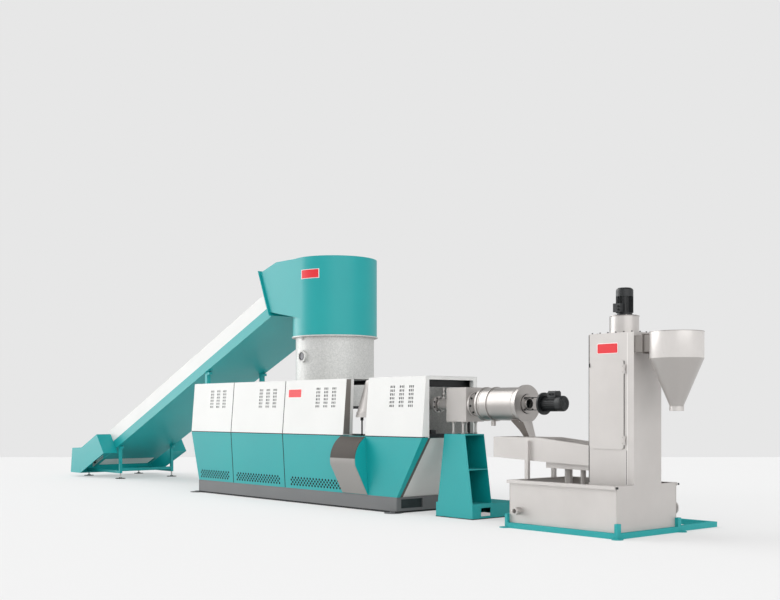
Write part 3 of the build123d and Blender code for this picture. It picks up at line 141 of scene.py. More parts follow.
def scaled(tree, value, low, high):
    """A pattern's value spread between two numbers."""
    return add_node(
        tree, "ShaderNodeMapRange", {"To Min": low, "To Max": high}, {"Value": value}
    ).outputs["Result"]


def powder_coat(name, dark, light, roughness):
    """Polyester powder coat on sheet steel: satin, with a faint orange peel, dulled by dust on level tops."""
    material, tree, output, coordinates = new_material(name)
    tone = two_tone(tree, noise(tree, coordinates, size=0.9), dark, light)
    sheen = scaled(tree, noise(tree, coordinates, size=1.2), roughness - 0.015, roughness + 0.015)
    # Orange peel is 2 mm wide on the real coat, drawn 8 mm wide so that it shows
    peel = noise(tree, coordinates, peel_width, detail=2.0)
    normal = add_node(tree, "ShaderNodeNewGeometry").outputs["Normal"]
    upward = add_node(tree, "ShaderNodeSeparateXYZ", links={"Vector": normal}).outputs["Z"]
    dust = add_node(
        tree, "ShaderNodeMapRange",
        {"From Min": dust_from, "From Max": dust_full, "To Max": dust_roughness}, {"Value": upward},
    ).outputs["Result"]
    dusty = add_node(
        tree, "ShaderNodeMath", {"operation": "ADD", "use_clamp": True}, {0: sheen, 1: dust}
    ).outputs[0]
    shader = add_node(
        tree, "ShaderNodeBsdfPrincipled", {"IOR": 1.5},
        {
            "Base Color": tone,
            "Roughness": dusty,
            "Normal": relief(tree, peel, peel_depth, strength=0.1),
        },
    )
    tree.links.new(shader.outputs["BSDF"], output.inputs["Surface"])
    return material


def spangled_zinc(name):
    """Hot-dip galvanised sheet: grey zinc crystals about 20 mm across, each with its own shade."""
    material, tree, output, coordinates = new_material(name)
    crystals = add_node(
        tree, "ShaderNodeTexVoronoi", {"Scale": 1.0 / crystal_width}, {"Vector": coordinates}
    )
    shade = add_node(tree, "ShaderNodeSeparateColor", links={"Color": crystals.outputs["Color"]})
    tone = two_tone(tree, shade.outputs["Red"], "#B9BAB8", "#CBCBC9", 0.0, 1.0)
    grain = noise(tree, coordinates, grain_width, detail=4.0)
    shader = add_node(
        tree, "ShaderNodeBsdfPrincipled", {"Metallic": 0.35},
        {
            "Base Color": tone,
            "Roughness": scaled(tree, shade.outputs["Green"], 0.42, 0.6),
            "Normal": relief(tree, grain, grain_depth, strength=0.3),
        },
    )
    tree.links.new(shader.outputs["BSDF"], output.inputs["Surface"])
    return material


def satin_steel(name, dark, light, roughness, brush, metal=0.3):
    """Stainless sheet, ground with a belt: fine lines along one direction and a soft, scattered sheen."""
    material, tree, output, coordinates = new_material(name)
    # Grinding lines are under 1 mm apart, drawn 4 mm apart so that they show
    lines = noise(tree, coordinates, grinding_width, 2.0, brush)
    clouds = noise(tree, coordinates, size=0.5)
    tone = two_tone(tree, clouds, dark, light)
    shader = add_node(
        tree, "ShaderNodeBsdfPrincipled", {"Metallic": metal},
        {
            "Base Color": tone,
            "Roughness": scaled(tree, lines, roughness - 0.05, roughness + 0.08),
            "Normal": relief(tree, lines, grinding_depth, strength=0.2),
        },
    )
    tree.links.new(shader.outputs["BSDF"], output.inputs["Surface"])
    return material


def painted_shade_steel(name, shade_height, lower, upper, roughness, metal=(0.35, 0.35), shine=0.5):
    """Stainless in two colours that meet at one height: painted shade on the cyclone's cone below it, and a
    painted dark reflection on the hood's arc above it.
    """
    material, tree, output, coordinates = new_material(name)
    lines = noise(tree, coordinates, grinding_width, 2.0, along_line)
    height = add_node(tree, "ShaderNodeSeparateXYZ", links={"Vector": coordinates}).outputs["Z"]
    above = add_node(
        tree, "ShaderNodeMapRange",
        {"From Min": shade_height - shade_blend, "From Max": shade_height + shade_blend}, {"Value": height},
    ).outputs["Result"]
    tone = two_tone(tree, above, lower, upper, 0.0, 1.0)
    shader = add_node(
        tree, "ShaderNodeBsdfPrincipled", {"Specular IOR Level": shine},
        {
            "Base Color": tone,
            "Metallic": scaled(tree, above, *metal),
            "Roughness": scaled(tree, lines, roughness - 0.02, roughness + 0.10),
            "Normal": relief(tree, lines, grinding_depth, strength=0.2),
        },
    )
    tree.links.new(shader.outputs["BSDF"], output.inputs["Surface"])
    return material


def matt_black(name, dark, light, roughness):
    """Dull dark coat with a rough skin, for cast enamel, rubber, felt and shadowed holes."""
    material, tree, output, coordinates = new_material(name)
    skin = noise(tree, coordinates, skin_width, detail=4.0)
    tone = two_tone(tree, noise(tree, coordinates, size=0.08), dark, light)
    shader = add_node(
        tree, "ShaderNodeBsdfPrincipled", {"IOR": 1.5},
        {
            "Base Color": tone,
            "Roughness": scaled(tree, skin, roughness - 0.05, roughness + 0.1),
            "Normal": relief(tree, skin, skin_depth, strength=0.35),
        },
    )
    tree.links.new(shader.outputs["BSDF"], output.inputs["Surface"])
    return material


def belt_cover(name):
    """Coated conveyor belt: matt white cover with a fine woven print, 6 mm pitch drawn at 12 mm."""
    material, tree, output, coordinates = new_material(name)
    weave = add_node(
        tree, "ShaderNodeTexChecker", {"Scale": 1.0 / weave_width}, {"Vector": coordinates}
    ).outputs["Fac"]
    tone = two_tone(tree, noise(tree, coordinates, size=0.4), "#EAEAE6", "#F2F2EF")
    shader = add_node(
        tree, "ShaderNodeBsdfPrincipled", {"IOR": 1.5, "Roughness": 0.65},
        {"Base Color": tone, "Normal": relief(tree, weave, weave_depth, strength=0.4)},
    )
    tree.links.new(shader.outputs["BSDF"], output.inputs["Surface"])
    return material


def sight_glass(name):
    """Toughened glass, drawn as a smooth dark pane, because no light reaches the drum behind it."""
    material, tree, output, coordinates = new_material(name)
    tone = two_tone(tree, noise(tree, coordinates, size=0.05), "#3F3E46", "#4B4A52")
    shader = add_node(
        tree, "ShaderNodeBsdfPrincipled", {"IOR": 1.52, "Roughness": 0.12},
        {"Base Color": tone},
    )
    tree.links.new(shader.outputs["BSDF"], output.inputs["Surface"])
    return material


finishes = {
    "teal_paint": powder_coat("teal_powder_coat", "#07989A", "#0A9C9D", 0.42),
    "white_paint": powder_coat("white_powder_coat", "#D9D9D7", "#DDDDDB", 0.50),
    "grey_paint": powder_coat("grey_powder_coat", "#606162", "#676869", 0.45),
    "galvanised": spangled_zinc("spangled_zinc"),
    "stainless": satin_steel("ground_stainless", "#BEBAB7", "#C5C1BE", 0.44, upright),
    "motor_paint": matt_black("motor_enamel", "#111416", "#191C1E", 0.42),
    "belt_fabric": belt_cover("coated_belt"),
    "sight_glass": sight_glass("sight_port_glass"),
}
bright_steel = satin_steel("bright_rolled_stainless", "#A8A4A1", "#B3AFAC", 0.34, along_line, 0.85)
spun_steel = satin_steel("spun_stainless", "#BEBAB7", "#C5C1BE", 0.30, along_line, 0.35)
# The cyclone's cone below the 2.12 m weld is painted darker, as painted shade on its downward face.
cyclone_steel = painted_shade_steel("cyclone_stainless_painted_shade", 2.120, "#A8A4A1", "#D2CECB", 0.26)
# Machined steel for the nuts and the screen changer; the changer's darker tone is partly painted shade from
# the covers and hood above it.
machined_and_shaded_steel = satin_steel("machined_and_shaded_steel", "#A8A4A1", "#B1ADAA", 0.42, upright, 0.35)
# Dark steel for seams and joints, and as painted shade on the pellet chute's front.
dark_steel = satin_steel("seam_and_shade_stainless", "#5E5853", "#67605B", 0.40, upright, 0.4)
# The hood's arc above 0.79 m is painted dark as a painted reflection, with its metal and shine turned down
# there.
hood_steel = painted_shade_steel("hood_stainless_painted_reflection", 0.790, "#9A9794", "#4E4945", 0.50, (0.2, 0.0), 0.1)
panel_steel = satin_steel("ground_panel_stainless", "#D6D3D0", "#DCD9D6", 0.44, upright)
# Grey steel for the adapter gasket, and as painted shade on the cyclone duct and in the cover's end gap.
gasket_and_shade_steel = satin_steel("gasket_and_painted_shade_stainless", "#76716D", "#807B77", 0.45, upright)
black_rubber = matt_black("black_rubber", "#1A1B1C", "#232425", 0.7)
bolt_steel = matt_black("blackened_bolts", "#1C1D1E", "#2A2B2C", 0.4)
red_enamel = powder_coat("red_enamel", "#D81E28", "#DE2832", 0.45)
plate_border = powder_coat("pale_enamel", "#EFE4E2", "#F4EAE8", 0.35)
# Black for gaskets, seams and joints, and for painted contact shadows along the stand's and plinth's feet.
gasket_and_shadow_rubber = matt_black("gasket_and_shadow_rubber", "#15191A", "#1D2122", 0.75)
hole_shadow = matt_black("hole_shadow", "#020708", "#050C0D", 0.95)
# Painted shade inside the plinth's end recess.
recess_shade_sheet = matt_black("recess_shade_sheet", "#1E2829", "#243031", 0.85)
weld_bead = satin_steel("weld_bead", "#A8A4A0", "#B8B4B0", 0.45, along_line)
filter_felt = matt_black("filter_felt", "#666869", "#727374", 0.9)
grille_steel = matt_black("grille_enamel", "#3A3D3F", "#45484A", 0.45)

for part in frame["record"]["subparts"]:
    mesh = frame["nodes"][part["node"]].data
    mesh.materials.clear()
    mesh.materials.append(finishes[part["material_slot"]])

# The duct's finish is painted shade; the cyclone's and hood's finishes carry painted shade and a painted
# reflection.
own_finish = {
    "cutter_housing": bright_steel, "cutter_end_plate": bright_steel, "die_adapter": spun_steel,
    "cyclone": cyclone_steel, "side_hood": hood_steel, "plinth_feet": black_rubber,
    "cyclone_duct": gasket_and_shade_steel, "motor_pedestal": spun_steel,
    "screen_changer": machined_and_shaded_steel, "end_panel": panel_steel,
}
for node, finish in own_finish.items():
    frame["nodes"][node].data.materials[0] = finish

# Making pieces

# Edges sharper than this stay sharp, in degrees, and points closer than this are one, in metres
piece_crease, node_crease = 35.0, 28.0
piece_merge, node_merge = 0.00001, 0.00002
# A round bar's end faces: how nearly they look along it, and how near they lie to its end points
end_normal, end_reach = 0.99, 0.001


def begin():
    """Object mode with nothing selected, so that the next operator acts on the new piece alone."""
    if bpy.context.object is not None and bpy.context.object.mode != "OBJECT":
        bpy.ops.object.mode_set(mode="OBJECT")
    bpy.ops.object.select_all(action="DESELECT")


def edit(shape, kind):
    """Edit mode with nothing of the shape selected, for points, edges or faces."""
    begin()
    shape.select_set(True)
    bpy.context.view_layer.objects.active = shape
    bpy.context.tool_settings.mesh_select_mode = (kind == "POINT", kind == "EDGE", kind == "FACE")
    bpy.ops.object.mode_set(mode="EDIT")
    bpy.ops.mesh.select_all(action="DESELECT")


def pick_faces(shape, chosen):
    """Go into edit mode with the faces selected whose centre and normal pass a test."""
    edit(shape, "FACE")
    bpy.ops.object.mode_set(mode="OBJECT")
    for face in shape.data.polygons:
        face.select = bool(chosen(face.center, face.normal))
    bpy.ops.object.mode_set(mode="EDIT")


def pick_edges(shape, chosen):
    """Go into edit mode with the edges selected whose two ends pass a test."""
    edit(shape, "EDGE")
    bpy.ops.object.mode_set(mode="OBJECT")
    points = shape.data.vertices
    for edge in shape.data.edges:
        edge.select = bool(chosen(*(points[end].co for end in edge.vertices)))
    bpy.ops.object.mode_set(mode="EDIT")


def pick_points(shape, chosen):
    """Go into edit mode with the points selected whose place passes a test."""
    edit(shape, "POINT")
    bpy.ops.object.mode_set(mode="OBJECT")
    for point in shape.data.vertices:
        point.select = bool(chosen(point.co))
    bpy.ops.object.mode_set(mode="EDIT")


def settled(shape):
    """Write a piece's place, turn and size into its mesh."""
    begin()
    shape.select_set(True)
    bpy.context.view_layer.objects.active = shape
    bpy.ops.object.transform_apply(location=True, rotation=True, scale=True)
    return shape


def block(low, high, edge=0.002, steps=1):
    """A bar or plate between two corners, with its edges broken."""
    begin()
    centre = [(a + b) / 2 for a, b in zip(low, high)]
    bpy.ops.mesh.primitive_cube_add(size=1.0, location=centre)
    shape = bpy.context.object
    shape.scale = [b - a for a, b in zip(low, high)]
    settled(shape)
    if edge:
        bpy.ops.object.mode_set(mode="EDIT")
        bpy.ops.mesh.select_all(action="SELECT")
        bpy.ops.mesh.bevel(offset=edge, segments=steps, affect="EDGES")
        bpy.ops.object.mode_set(mode="OBJECT")
    return shape


def rod(start, end, radius, sides=24, edge=0.0):
    """A round bar between two points, with its rims broken."""
    begin()
    start, end = Vector(start), Vector(end)
    along = (end - start).normalized()
    bpy.ops.mesh.primitive_cylinder_add(
        vertices=sides, radius=radius, depth=(end - start).length, location=(start + end) / 2,
        rotation=along.to_track_quat("Z", "Y").to_euler(),
    )
    shape = settled(bpy.context.object)
    if edge:
        pick_faces(shape, lambda centre, normal: abs(normal.dot(along)) > end_normal)
        bpy.ops.mesh.bevel(offset=edge, segments=1, affect="EDGES")
        bpy.ops.object.mode_set(mode="OBJECT")
    return shape


def ring(start, end, outer, inner, sides=48, edge=0.0):
    """A round flange or washer between two points, bored through."""
    along = (Vector(end) - Vector(start)).normalized()
    shape = rod(start, end, outer, sides, edge)
    pick_faces(shape, lambda centre, normal: abs(normal.dot(along)) > end_normal and (
        min((centre - Vector(start)).length, (centre - Vector(end)).length) < end_reach))
    bpy.ops.mesh.inset(thickness=outer - inner - edge)
    bpy.ops.mesh.bridge_edge_loops()
    bpy.ops.object.mode_set(mode="OBJECT")
    return shape


def wire_ring(centre, axis, radius, wire, turns, sides=8):
    """A round wire or weld bead bent to a circle."""
    begin()
    bpy.ops.mesh.primitive_torus_add(
        major_segments=turns, minor_segments=sides, major_radius=radius, minor_radius=wire,
        location=centre, rotation=Vector(axis).to_track_quat("Z", "Y").to_euler(),
    )
    return settled(bpy.context.object)


def joined(shapes):
    """Several shapes as one piece."""
    begin()
    for shape in shapes:
        shape.select_set(True)
    bpy.context.view_layer.objects.active = shapes[0]
    if len(shapes) > 1:
        bpy.ops.object.join()
    return bpy.context.object


def copies(model, places):
    """Copies of a model at several places, each with its own mesh, joined as one piece."""
    made = []
    for place in places:
        twin = model.copy()
        twin.data = model.data.copy()
        twin.matrix_world = place
        bpy.context.scene.collection.objects.link(twin)
        made.append(twin)
    bpy.data.objects.remove(model)
    return settled(joined(made))


def at(points, facing=(0, 0, 1)):
    """Places at several points, with a model's upright turned to face one way."""
    turn = Vector(facing).to_track_quat("Z", "Y").to_matrix().to_4x4()
    return [Matrix.Translation(point) @ turn for point in points]


def round_circle(centre, facing, radius, count, first):
    """Places evenly round a circle, all facing along its axis."""
    turn = Vector(facing).to_track_quat("Z", "Y").to_matrix().to_4x4()
    places = []
    for number in range(count):
        angle = math.radians(first + 360.0 * number / count)
        spoke = Matrix.Translation((radius * math.cos(angle), radius * math.sin(angle), 0))
        places.append(Matrix.Translation(centre) @ turn @ spoke)
    return places


def hex_bolt(radius, height=None):
    """A hexagon head on its washer, standing up from the origin."""
    height = height or radius * 1.1
    washer_top, washer_radius = height * 0.25, radius * 1.2
    head = rod((0, 0, washer_top), (0, 0, height), radius, sides=6, edge=radius * 0.1)
    washer = rod((0, 0, -0.001), (0, 0, washer_top), washer_radius, sides=12)
    return joined([head, washer])


def place_piece(shape, name, finish, body="root"):
    """Close and smooth a piece, give it its finish, and let it ride on its body."""
    begin()
    shape.select_set(True)
    bpy.context.view_layer.objects.active = shape
    bpy.ops.object.mode_set(mode="EDIT")
    bpy.ops.mesh.select_all(action="SELECT")
    bpy.ops.mesh.remove_doubles(threshold=piece_merge)
    bpy.ops.mesh.normals_make_consistent(inside=False)
    bpy.ops.object.mode_set(mode="OBJECT")
    bpy.ops.object.shade_smooth_by_angle(angle=math.radians(piece_crease))
    shape.data.materials.clear()
    shape.data.materials.append(finish)
    shape.name = name
    shape.data.name = name
    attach(shape, body)


def bolts(name, finish, places, radius, height=None):
    """Bolt heads of one size at several places, as one piece."""
    place_piece(copies(hex_bolt(radius, height), places), name, finish)


def round_faces():
    """Modifier nodes that join a CAD node's loose triangles and shade its round faces smooth."""
    group = bpy.data.node_groups.new("round_faces", "GeometryNodeTree")
    for way in ("INPUT", "OUTPUT"):
        group.interface.new_socket("Geometry", in_out=way, socket_type="NodeSocketGeometry")
    start = add_node(group, "NodeGroupInput")
    merged = add_node(
        group, "GeometryNodeMergeByDistance", {"Distance": node_merge}, {"Geometry": start.outputs[0]}
    )
    smooth = add_node(
        group, "GeometryNodeSetShadeSmooth", {"Shade Smooth": True}, {"Geometry": merged.outputs[0]}
    )
    corner = add_node(group, "GeometryNodeInputMeshEdgeAngle")
    flat = add_node(
        group, "ShaderNodeMath", {"operation": "LESS_THAN", 1: math.radians(node_crease)},
        {0: corner.outputs["Unsigned Angle"]},
    )
    creased = add_node(
        group, "GeometryNodeSetShadeSmooth", {"domain": "EDGE"},
        {"Geometry": smooth.outputs[0], "Shade Smooth": flat.outputs[0]},
    )
    end = add_node(group, "NodeGroupOutput")
    group.links.new(creased.outputs[0], end.inputs[0])
    return group


# Covers, in metres: their front faces lean in from the belt line to their top and bottom edges
belt_line, belt_front = 1.129, -1.462
cover_top, cover_top_front = 2.007, -1.390
cover_foot, cover_foot_front = 0.234, -1.405
upper_lean = math.atan2(cover_top_front - belt_front, cover_top - belt_line)
lower_lean = math.atan2(cover_foot_front - belt_front, belt_line - cover_foot)
cover_joints = (-1.115, 0.466)
covers_left, covers_right = -2.473, 2.086
block_left, block_right = 2.626, 3.903

# Extruder axis, in metres, from the barrel through the block and the pelletizer to its motor
axis_y, axis_z = -1.020, 1.600

# Ways that a bolt head or a round piece can face
face_right, face_left, face_front, face_rear = (1, 0, 0), (-1, 0, 0), (0, -1, 0), (0, 1, 0)
face_up, face_down = (0, 0, 1), (0, 0, -1)

# Enamelled plates: each layer's name, inset from the outline, height above the sheet, and finish
plate_layers = (("border", 0.0, 0.003, plate_border), ("face", 0.009, 0.0045, red_enamel))
plate_back = 0.004


def front_face(height):
    """How far forward the covers' front face is at a height."""
    far, far_front = (cover_top, cover_top_front) if height > belt_line else (cover_foot, cover_foot_front)
    return belt_front + (height - belt_line) / (far - belt_line) * (far_front - belt_front)


def face_strip(left, right, low, high, proud):
    """A flat strip that lies on the covers' leaning front face and is sunk a little into it."""
    sunk, hair = 0.003, 0.0001
    foot = front_face(low + hair)
    shape = block((left, foot - proud, low), (right, foot + sunk, high), edge=0)
    middle = (low + high) / 2
    pick_points(shape, lambda place: place.z > middle)
    bpy.ops.transform.translate(value=(0, front_face(high) - foot, 0))
    bpy.ops.object.mode_set(mode="OBJECT")
    return shape


def cover_seams():
    """Rubber strips in the joints between covers, and the long ones along the belt line."""
    half_width, proud, edge_gap = 0.007, 0.0025, 0.004
    band_low, band_high, upper_foot = 1.121, 1.135, 1.137
    band_front, band_back, end_gap = belt_front - 0.0030, -1.440, 0.01
    strips = []
    for joint in cover_joints:
        left, right = joint - half_width, joint + half_width
        strips.append(face_strip(left, right, upper_foot, cover_top - edge_gap, proud))
        strips.append(face_strip(left, right, cover_foot + edge_gap, band_low, proud))
    for left, right in ((covers_left, covers_right), (block_left, block_right)):
        strips.append(block((left + end_gap, band_front, band_low), (right - end_gap, band_back, band_high)))
    place_piece(joined(strips), "cover_seams", gasket_and_shadow_rubber)


def vent_insert():
    """Two upright bars that stand in one vent window."""
    window_height, bar_width, bar_depth, off_centre = 0.034, 0.016, 0.004, 0.018
    bars = []
    for middle in (-off_centre, off_centre):
        low = (middle - bar_width / 2, 0, -window_height / 2)
        high = (middle + bar_width / 2, bar_depth, window_height / 2)
        bars.append(block(low, high, edge=0.001))
    return joined(bars)


def vent_inserts():
    """Pressed inserts in the upper covers' vent windows, with a grey filter mat behind them."""
    pitch_across, pitch_down, top_row, rows = 0.207, 0.056, 1.860, 6
    group_inset, sunk, mat_half_width, mat_overlap, mat_depth = 0.5, 0.002, 0.28, 0.6, 0.014
    lean = Matrix.Rotation(-upper_lean, 4, "X")
    mat_low = top_row - (rows - 1 + mat_overlap) * pitch_down
    mat_high = top_row + mat_overlap * pitch_down
    for number, right in enumerate((-1.117, 0.464, 2.086, 3.903), 1):
        middle = right - group_inset
        places = []
        for column in (-1, 0, 1):
            for row in range(rows):
                height = top_row - row * pitch_down
                window = (middle + column * pitch_across, front_face(height) + sunk, height)
                places.append(Matrix.Translation(window) @ lean)
        mat = face_strip(middle - mat_half_width, middle + mat_half_width, mat_low, mat_high, proud=0)
        mat.location.y = mat_depth
        place_piece(settled(mat), f"filter_mat_{number}", filter_felt)
        inserts = copies(vent_insert(), places)
        place_piece(inserts, f"vent_inserts_{number}", finishes["white_paint"])


def perforations():
    """Round cooling holes in the lower covers, in four staggered rows, drawn as dark cups."""
    radius, pitch_across, pitch_up, first_row, rows = 0.0200, 0.081, 0.037, 0.300, 4
    cup_back, cup_front = (0, 0, -0.002), (0, 0, 0.0012)
    facing = (0, -math.cos(lower_lean), -math.sin(lower_lean))
    for number, (left, right) in enumerate(((-2.20, -1.26), (-0.99, 0.33), (0.65, 1.96)), 1):
        cup = rod(cup_back, cup_front, radius, sides=12, edge=0.0008)
        points = []
        for row in range(rows):
            across = left + (pitch_across / 2 if row % 2 else 0)
            height = first_row + row * pitch_up
            while across < right:
                points.append((across, front_face(height), height))
                across += pitch_across
        place_piece(copies(cup, at(points, facing)), f"cooling_holes_{number}", hole_shadow)


def rounded_plate(low, high, corner):
    """A thin plate in the XZ plane with its four upright corners rounded."""
    hair = 0.0001
    shape = block(low, high, edge=0)
    pick_edges(shape, lambda a, b: abs(a.x - b.x) < hair and abs(a.z - b.z) < hair)
    bpy.ops.mesh.bevel(offset=corner, segments=4, affect="EDGES")
    bpy.ops.object.mode_set(mode="OBJECT")
    return shape


def flat_plates():
    """Bare enamelled plates with a pale border, on the third cover and the tower."""
    corner = 0.022
    for name, left, right, low, high, turn, front in (
        ("cover_plate", 0.567, 0.932, 1.720, 1.866, upper_lean, front_face(1.793)),
        ("tower_plate", 6.813, 7.132, 2.200, 2.332, 0.0, -1.205),
    ):
        place = Matrix.Translation(((left + right) / 2, front, (low + high) / 2))
        for part, inset, proud, finish in plate_layers:
            half, tall = (right - left) / 2 - inset, (high - low) / 2 - inset
            shape = rounded_plate((-half, -proud, -tall), (half, plate_back, tall), corner - inset)
            shape.matrix_world = place @ Matrix.Rotation(-turn, 4, "X")
            place_piece(settled(shape), f"{name}_{part}", finish)


def casing_plate():
    """The bare enamelled plate that is bent round the front of the compactor's casing."""
    casing_radius, low, high = 0.746, 3.790, 3.950
    first_angle, last_angle = 1.0, 31.0
    for part, inset, proud, finish in plate_layers:
        turn = math.degrees(inset / casing_radius)
        begin()
        bpy.ops.mesh.primitive_cylinder_add(
            vertices=360, radius=casing_radius + proud, depth=high - low - 2 * inset,
            location=(0, 0, (low + high) / 2), end_fill_type="NOTHING",
        )
        shape = settled(bpy.context.object)
        pick_faces(shape, lambda centre, normal: not first_angle + turn < math.degrees(
            math.atan2(centre.x, -centre.y)) < last_angle - turn)
        bpy.ops.mesh.delete(type="FACE")
        bpy.ops.object.mode_set(mode="OBJECT")
        wall = shape.modifiers.new("wall", "SOLIDIFY")
        wall.thickness = plate_back
        wall.offset = -1.0
        bpy.ops.object.modifier_apply(modifier="wall")
        place_piece(shape, f"casing_plate_{part}", finish)


def on_axis(x):
    """The point of the extruder's axis at a place along the line."""
    return (x, axis_y, axis_z)


def extruder_fittings():
    """Bolts, nuts, rings, gaskets and weld seams along the extruder's axis, from barrel to motor."""
    places = round_circle(on_axis(3.780), face_right, radius=0.100, count=8, first=22.5)
    places += round_circle(on_axis(4.080), face_left, radius=0.100, count=8, first=22.5)
    bolts("barrel_bolts", bolt_steel, places, 0.011)
    nuts = []
    for x in (4.220, 4.410):
        for y in (-0.900, -1.150):
            for low, high in ((1.1805, 1.204), (1.331, 1.3545)):
                nuts.append(rod((x, y, low), (x, y, high), radius=0.027, sides=6, edge=0.003))
    place_piece(joined(nuts), "stud_nuts", machined_and_shaded_steel)
    places = round_circle(on_axis(4.560), face_right, radius=0.140, count=8, first=10.0)
    bolts("adapter_bolts", bolt_steel, places, 0.014)
    collar = ring(on_axis(3.800), on_axis(3.850), outer=0.092, inner=0.079, edge=0.003)
    place_piece(collar, "barrel_collar", bright_steel)
    places = round_circle(on_axis(5.522), face_right, radius=0.108, count=4, first=45.0)
    bolts("flange_screws", bolt_steel, places, 0.012)
    lip = ring(on_axis(5.500), on_axis(5.540), outer=0.075, inner=0.0672, edge=0.002)
    place_piece(lip, "shaft_seal_ring", bright_steel)
    joint = ring(on_axis(4.555), on_axis(4.5602), outer=0.1685, inner=0.160, sides=64, edge=0.001)
    place_piece(joint, "adapter_gasket", gasket_and_shade_steel)
    seams = [wire_ring(on_axis(x), face_right, 0.2255, wire=0.0025, turns=96, sides=6) for x in (4.80, 5.395)]
    place_piece(joined(seams), "pelletizer_seams", weld_bead)
    outline = ring(on_axis(5.4995), on_axis(5.5035), outer=0.1325, inner=0.120, sides=64)
    place_piece(outline, "flange_gasket", gasket_and_shadow_rubber)
    # A dark disc deep in the shaft's bore: painted shade inside it.
    gland = rod(on_axis(5.468), on_axis(5.482), radius=0.0665, sides=40, edge=0.002)
    place_piece(gland, "shaft_bore_shade", hole_shadow)
    half_width, lift, half_skin = 0.0715, 0.084, 0.005
    edges = []
    for middle in (axis_z - lift, axis_z + lift):
        low = (5.523, axis_y - half_width, middle - half_skin)
        high = (5.780, axis_y + half_width, middle + half_skin)
        edges.append(block(low, high, edge=0.001))
    place_piece(joined(edges), "yoke_edges", bolt_steel)
    places = round_circle(on_axis(5.780), face_left, radius=0.128, count=4, first=45.0)
    bolts("motor_flange_bolts", bolt_steel, places, 0.010)


def flat_sheet(points, thickness=0.002):
    """A flat or slightly folded sheet cut to an outline, half of its thickness on either side."""
    begin()
    mesh = bpy.data.meshes.new("sheet")
    mesh.from_pydata(points, [], [list(range(len(points)))])
    shape = bpy.data.objects.new("sheet", mesh)
    bpy.context.scene.collection.objects.link(shape)
    shape.select_set(True)
    bpy.context.view_layer.objects.active = shape
    wall = shape.modifiers.new("wall", "SOLIDIFY")
    wall.thickness = thickness
    wall.offset = 0.0
    bpy.ops.object.modifier_apply(modifier="wall")
    return shape


def chute_sheets():
    """Dark sheet on the front of the pellet chute as painted shade on its downward face, and the bead round
    its spout.
    """
    outline = (
        (5.291, 1.392), (5.458, 1.392), (5.458, 1.358), (5.505, 1.358),
        (5.588, 1.166), (5.491, 1.166), (5.426, 1.2505), (5.291, 1.3725),
    )
    knee, foot, knee_front, foot_front = 1.372, 1.165, -1.1110, -1.0830
    points = []
    for x, z in outline:
        share = max(0.0, (knee - z) / (knee - foot))
        points.append((x, knee_front + share * (foot_front - knee_front), z))
    place_piece(flat_sheet(points), "chute_front_shade_sheet", dark_steel)
    bead = wire_ring((5.545, -1.020, 1.130), face_up, radius=0.0610, wire=0.0035, turns=40)
    place_piece(bead, "chute_spout_bead", weld_bead)


def probe_fittings():
    """Temperature probe and its nuts on top of the barrel, inside the open end."""
    probe, nut_height = (3.880, -1.020), 0.024
    stem = [rod((*probe, 1.672), (*probe, 1.850), radius=0.009, sides=16, edge=0.002)]
    for low in (1.684, 1.745, 1.806):
        stem.append(rod((*probe, low), (*probe, low + nut_height), radius=0.019, sides=6, edge=0.002))
    place_piece(joined(stem), "probe_fittings", spun_steel)


def fan_grille(name, centre, facing, radius):
    """Wire fan guard on the end of a motor's cowl: rings on four spokes round a hub."""
    wire, stand_off, spoke_share, hub_share = 0.002, 0.003, 0.84, 0.14
    facing = Vector(facing)
    centre = Vector(centre) + facing * stand_off
    parts = []
    for share in (0.28, 0.46, 0.64, 0.82):
        parts.append(wire_ring(centre, facing, radius * share, wire, turns=32, sides=6))
    across = facing.orthogonal().normalized()
    for spoke in (across, facing.cross(across)):
        reach = spoke * radius * spoke_share
        parts.append(rod(centre - reach, centre + reach, wire, sides=8))
    hub = facing * wire
    parts.append(rod(centre - hub, centre + hub, radius * hub_share, sides=20, edge=0.001))
    place_piece(joined(parts), name, grille_steel)


def motor_details():
    """Fan guards on the three motors, cable glands on two of them, and terminal box screws on one."""
    fan_grille("dryer_fan_guard", (7.020, -0.930, 3.014), face_up, radius=0.098)
    fan_grille("cutter_fan_guard", on_axis(6.143), face_right, radius=0.092)
    fan_grille("compactor_fan_guard", (0, 0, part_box("compactor_motor")[0][2]), face_down, radius=0.185)
    gland = joined([
        rod((0, 0, -0.002), (0, 0, 0.010), radius=0.014, sides=6, edge=0.001),
        rod((0, 0, 0.009), (0, 0, 0.022), radius=0.011, sides=16, edge=0.003),
    ])
    spots = [(7.043, -1.090, 2.784), (7.043, -1.090, 2.744), (5.945, -1.080, 1.722), (5.985, -1.080, 1.722)]
    place_piece(copies(gland, at(spots, face_front)), "cable_glands", black_rubber)
    spots = [(x, y, 1.765) for x in (5.912, 6.018) for y in (-1.056, -0.984)]
    place_piece(copies(hex_bolt(0.004, height=0.003), at(spots)), "box_screws", grille_steel)


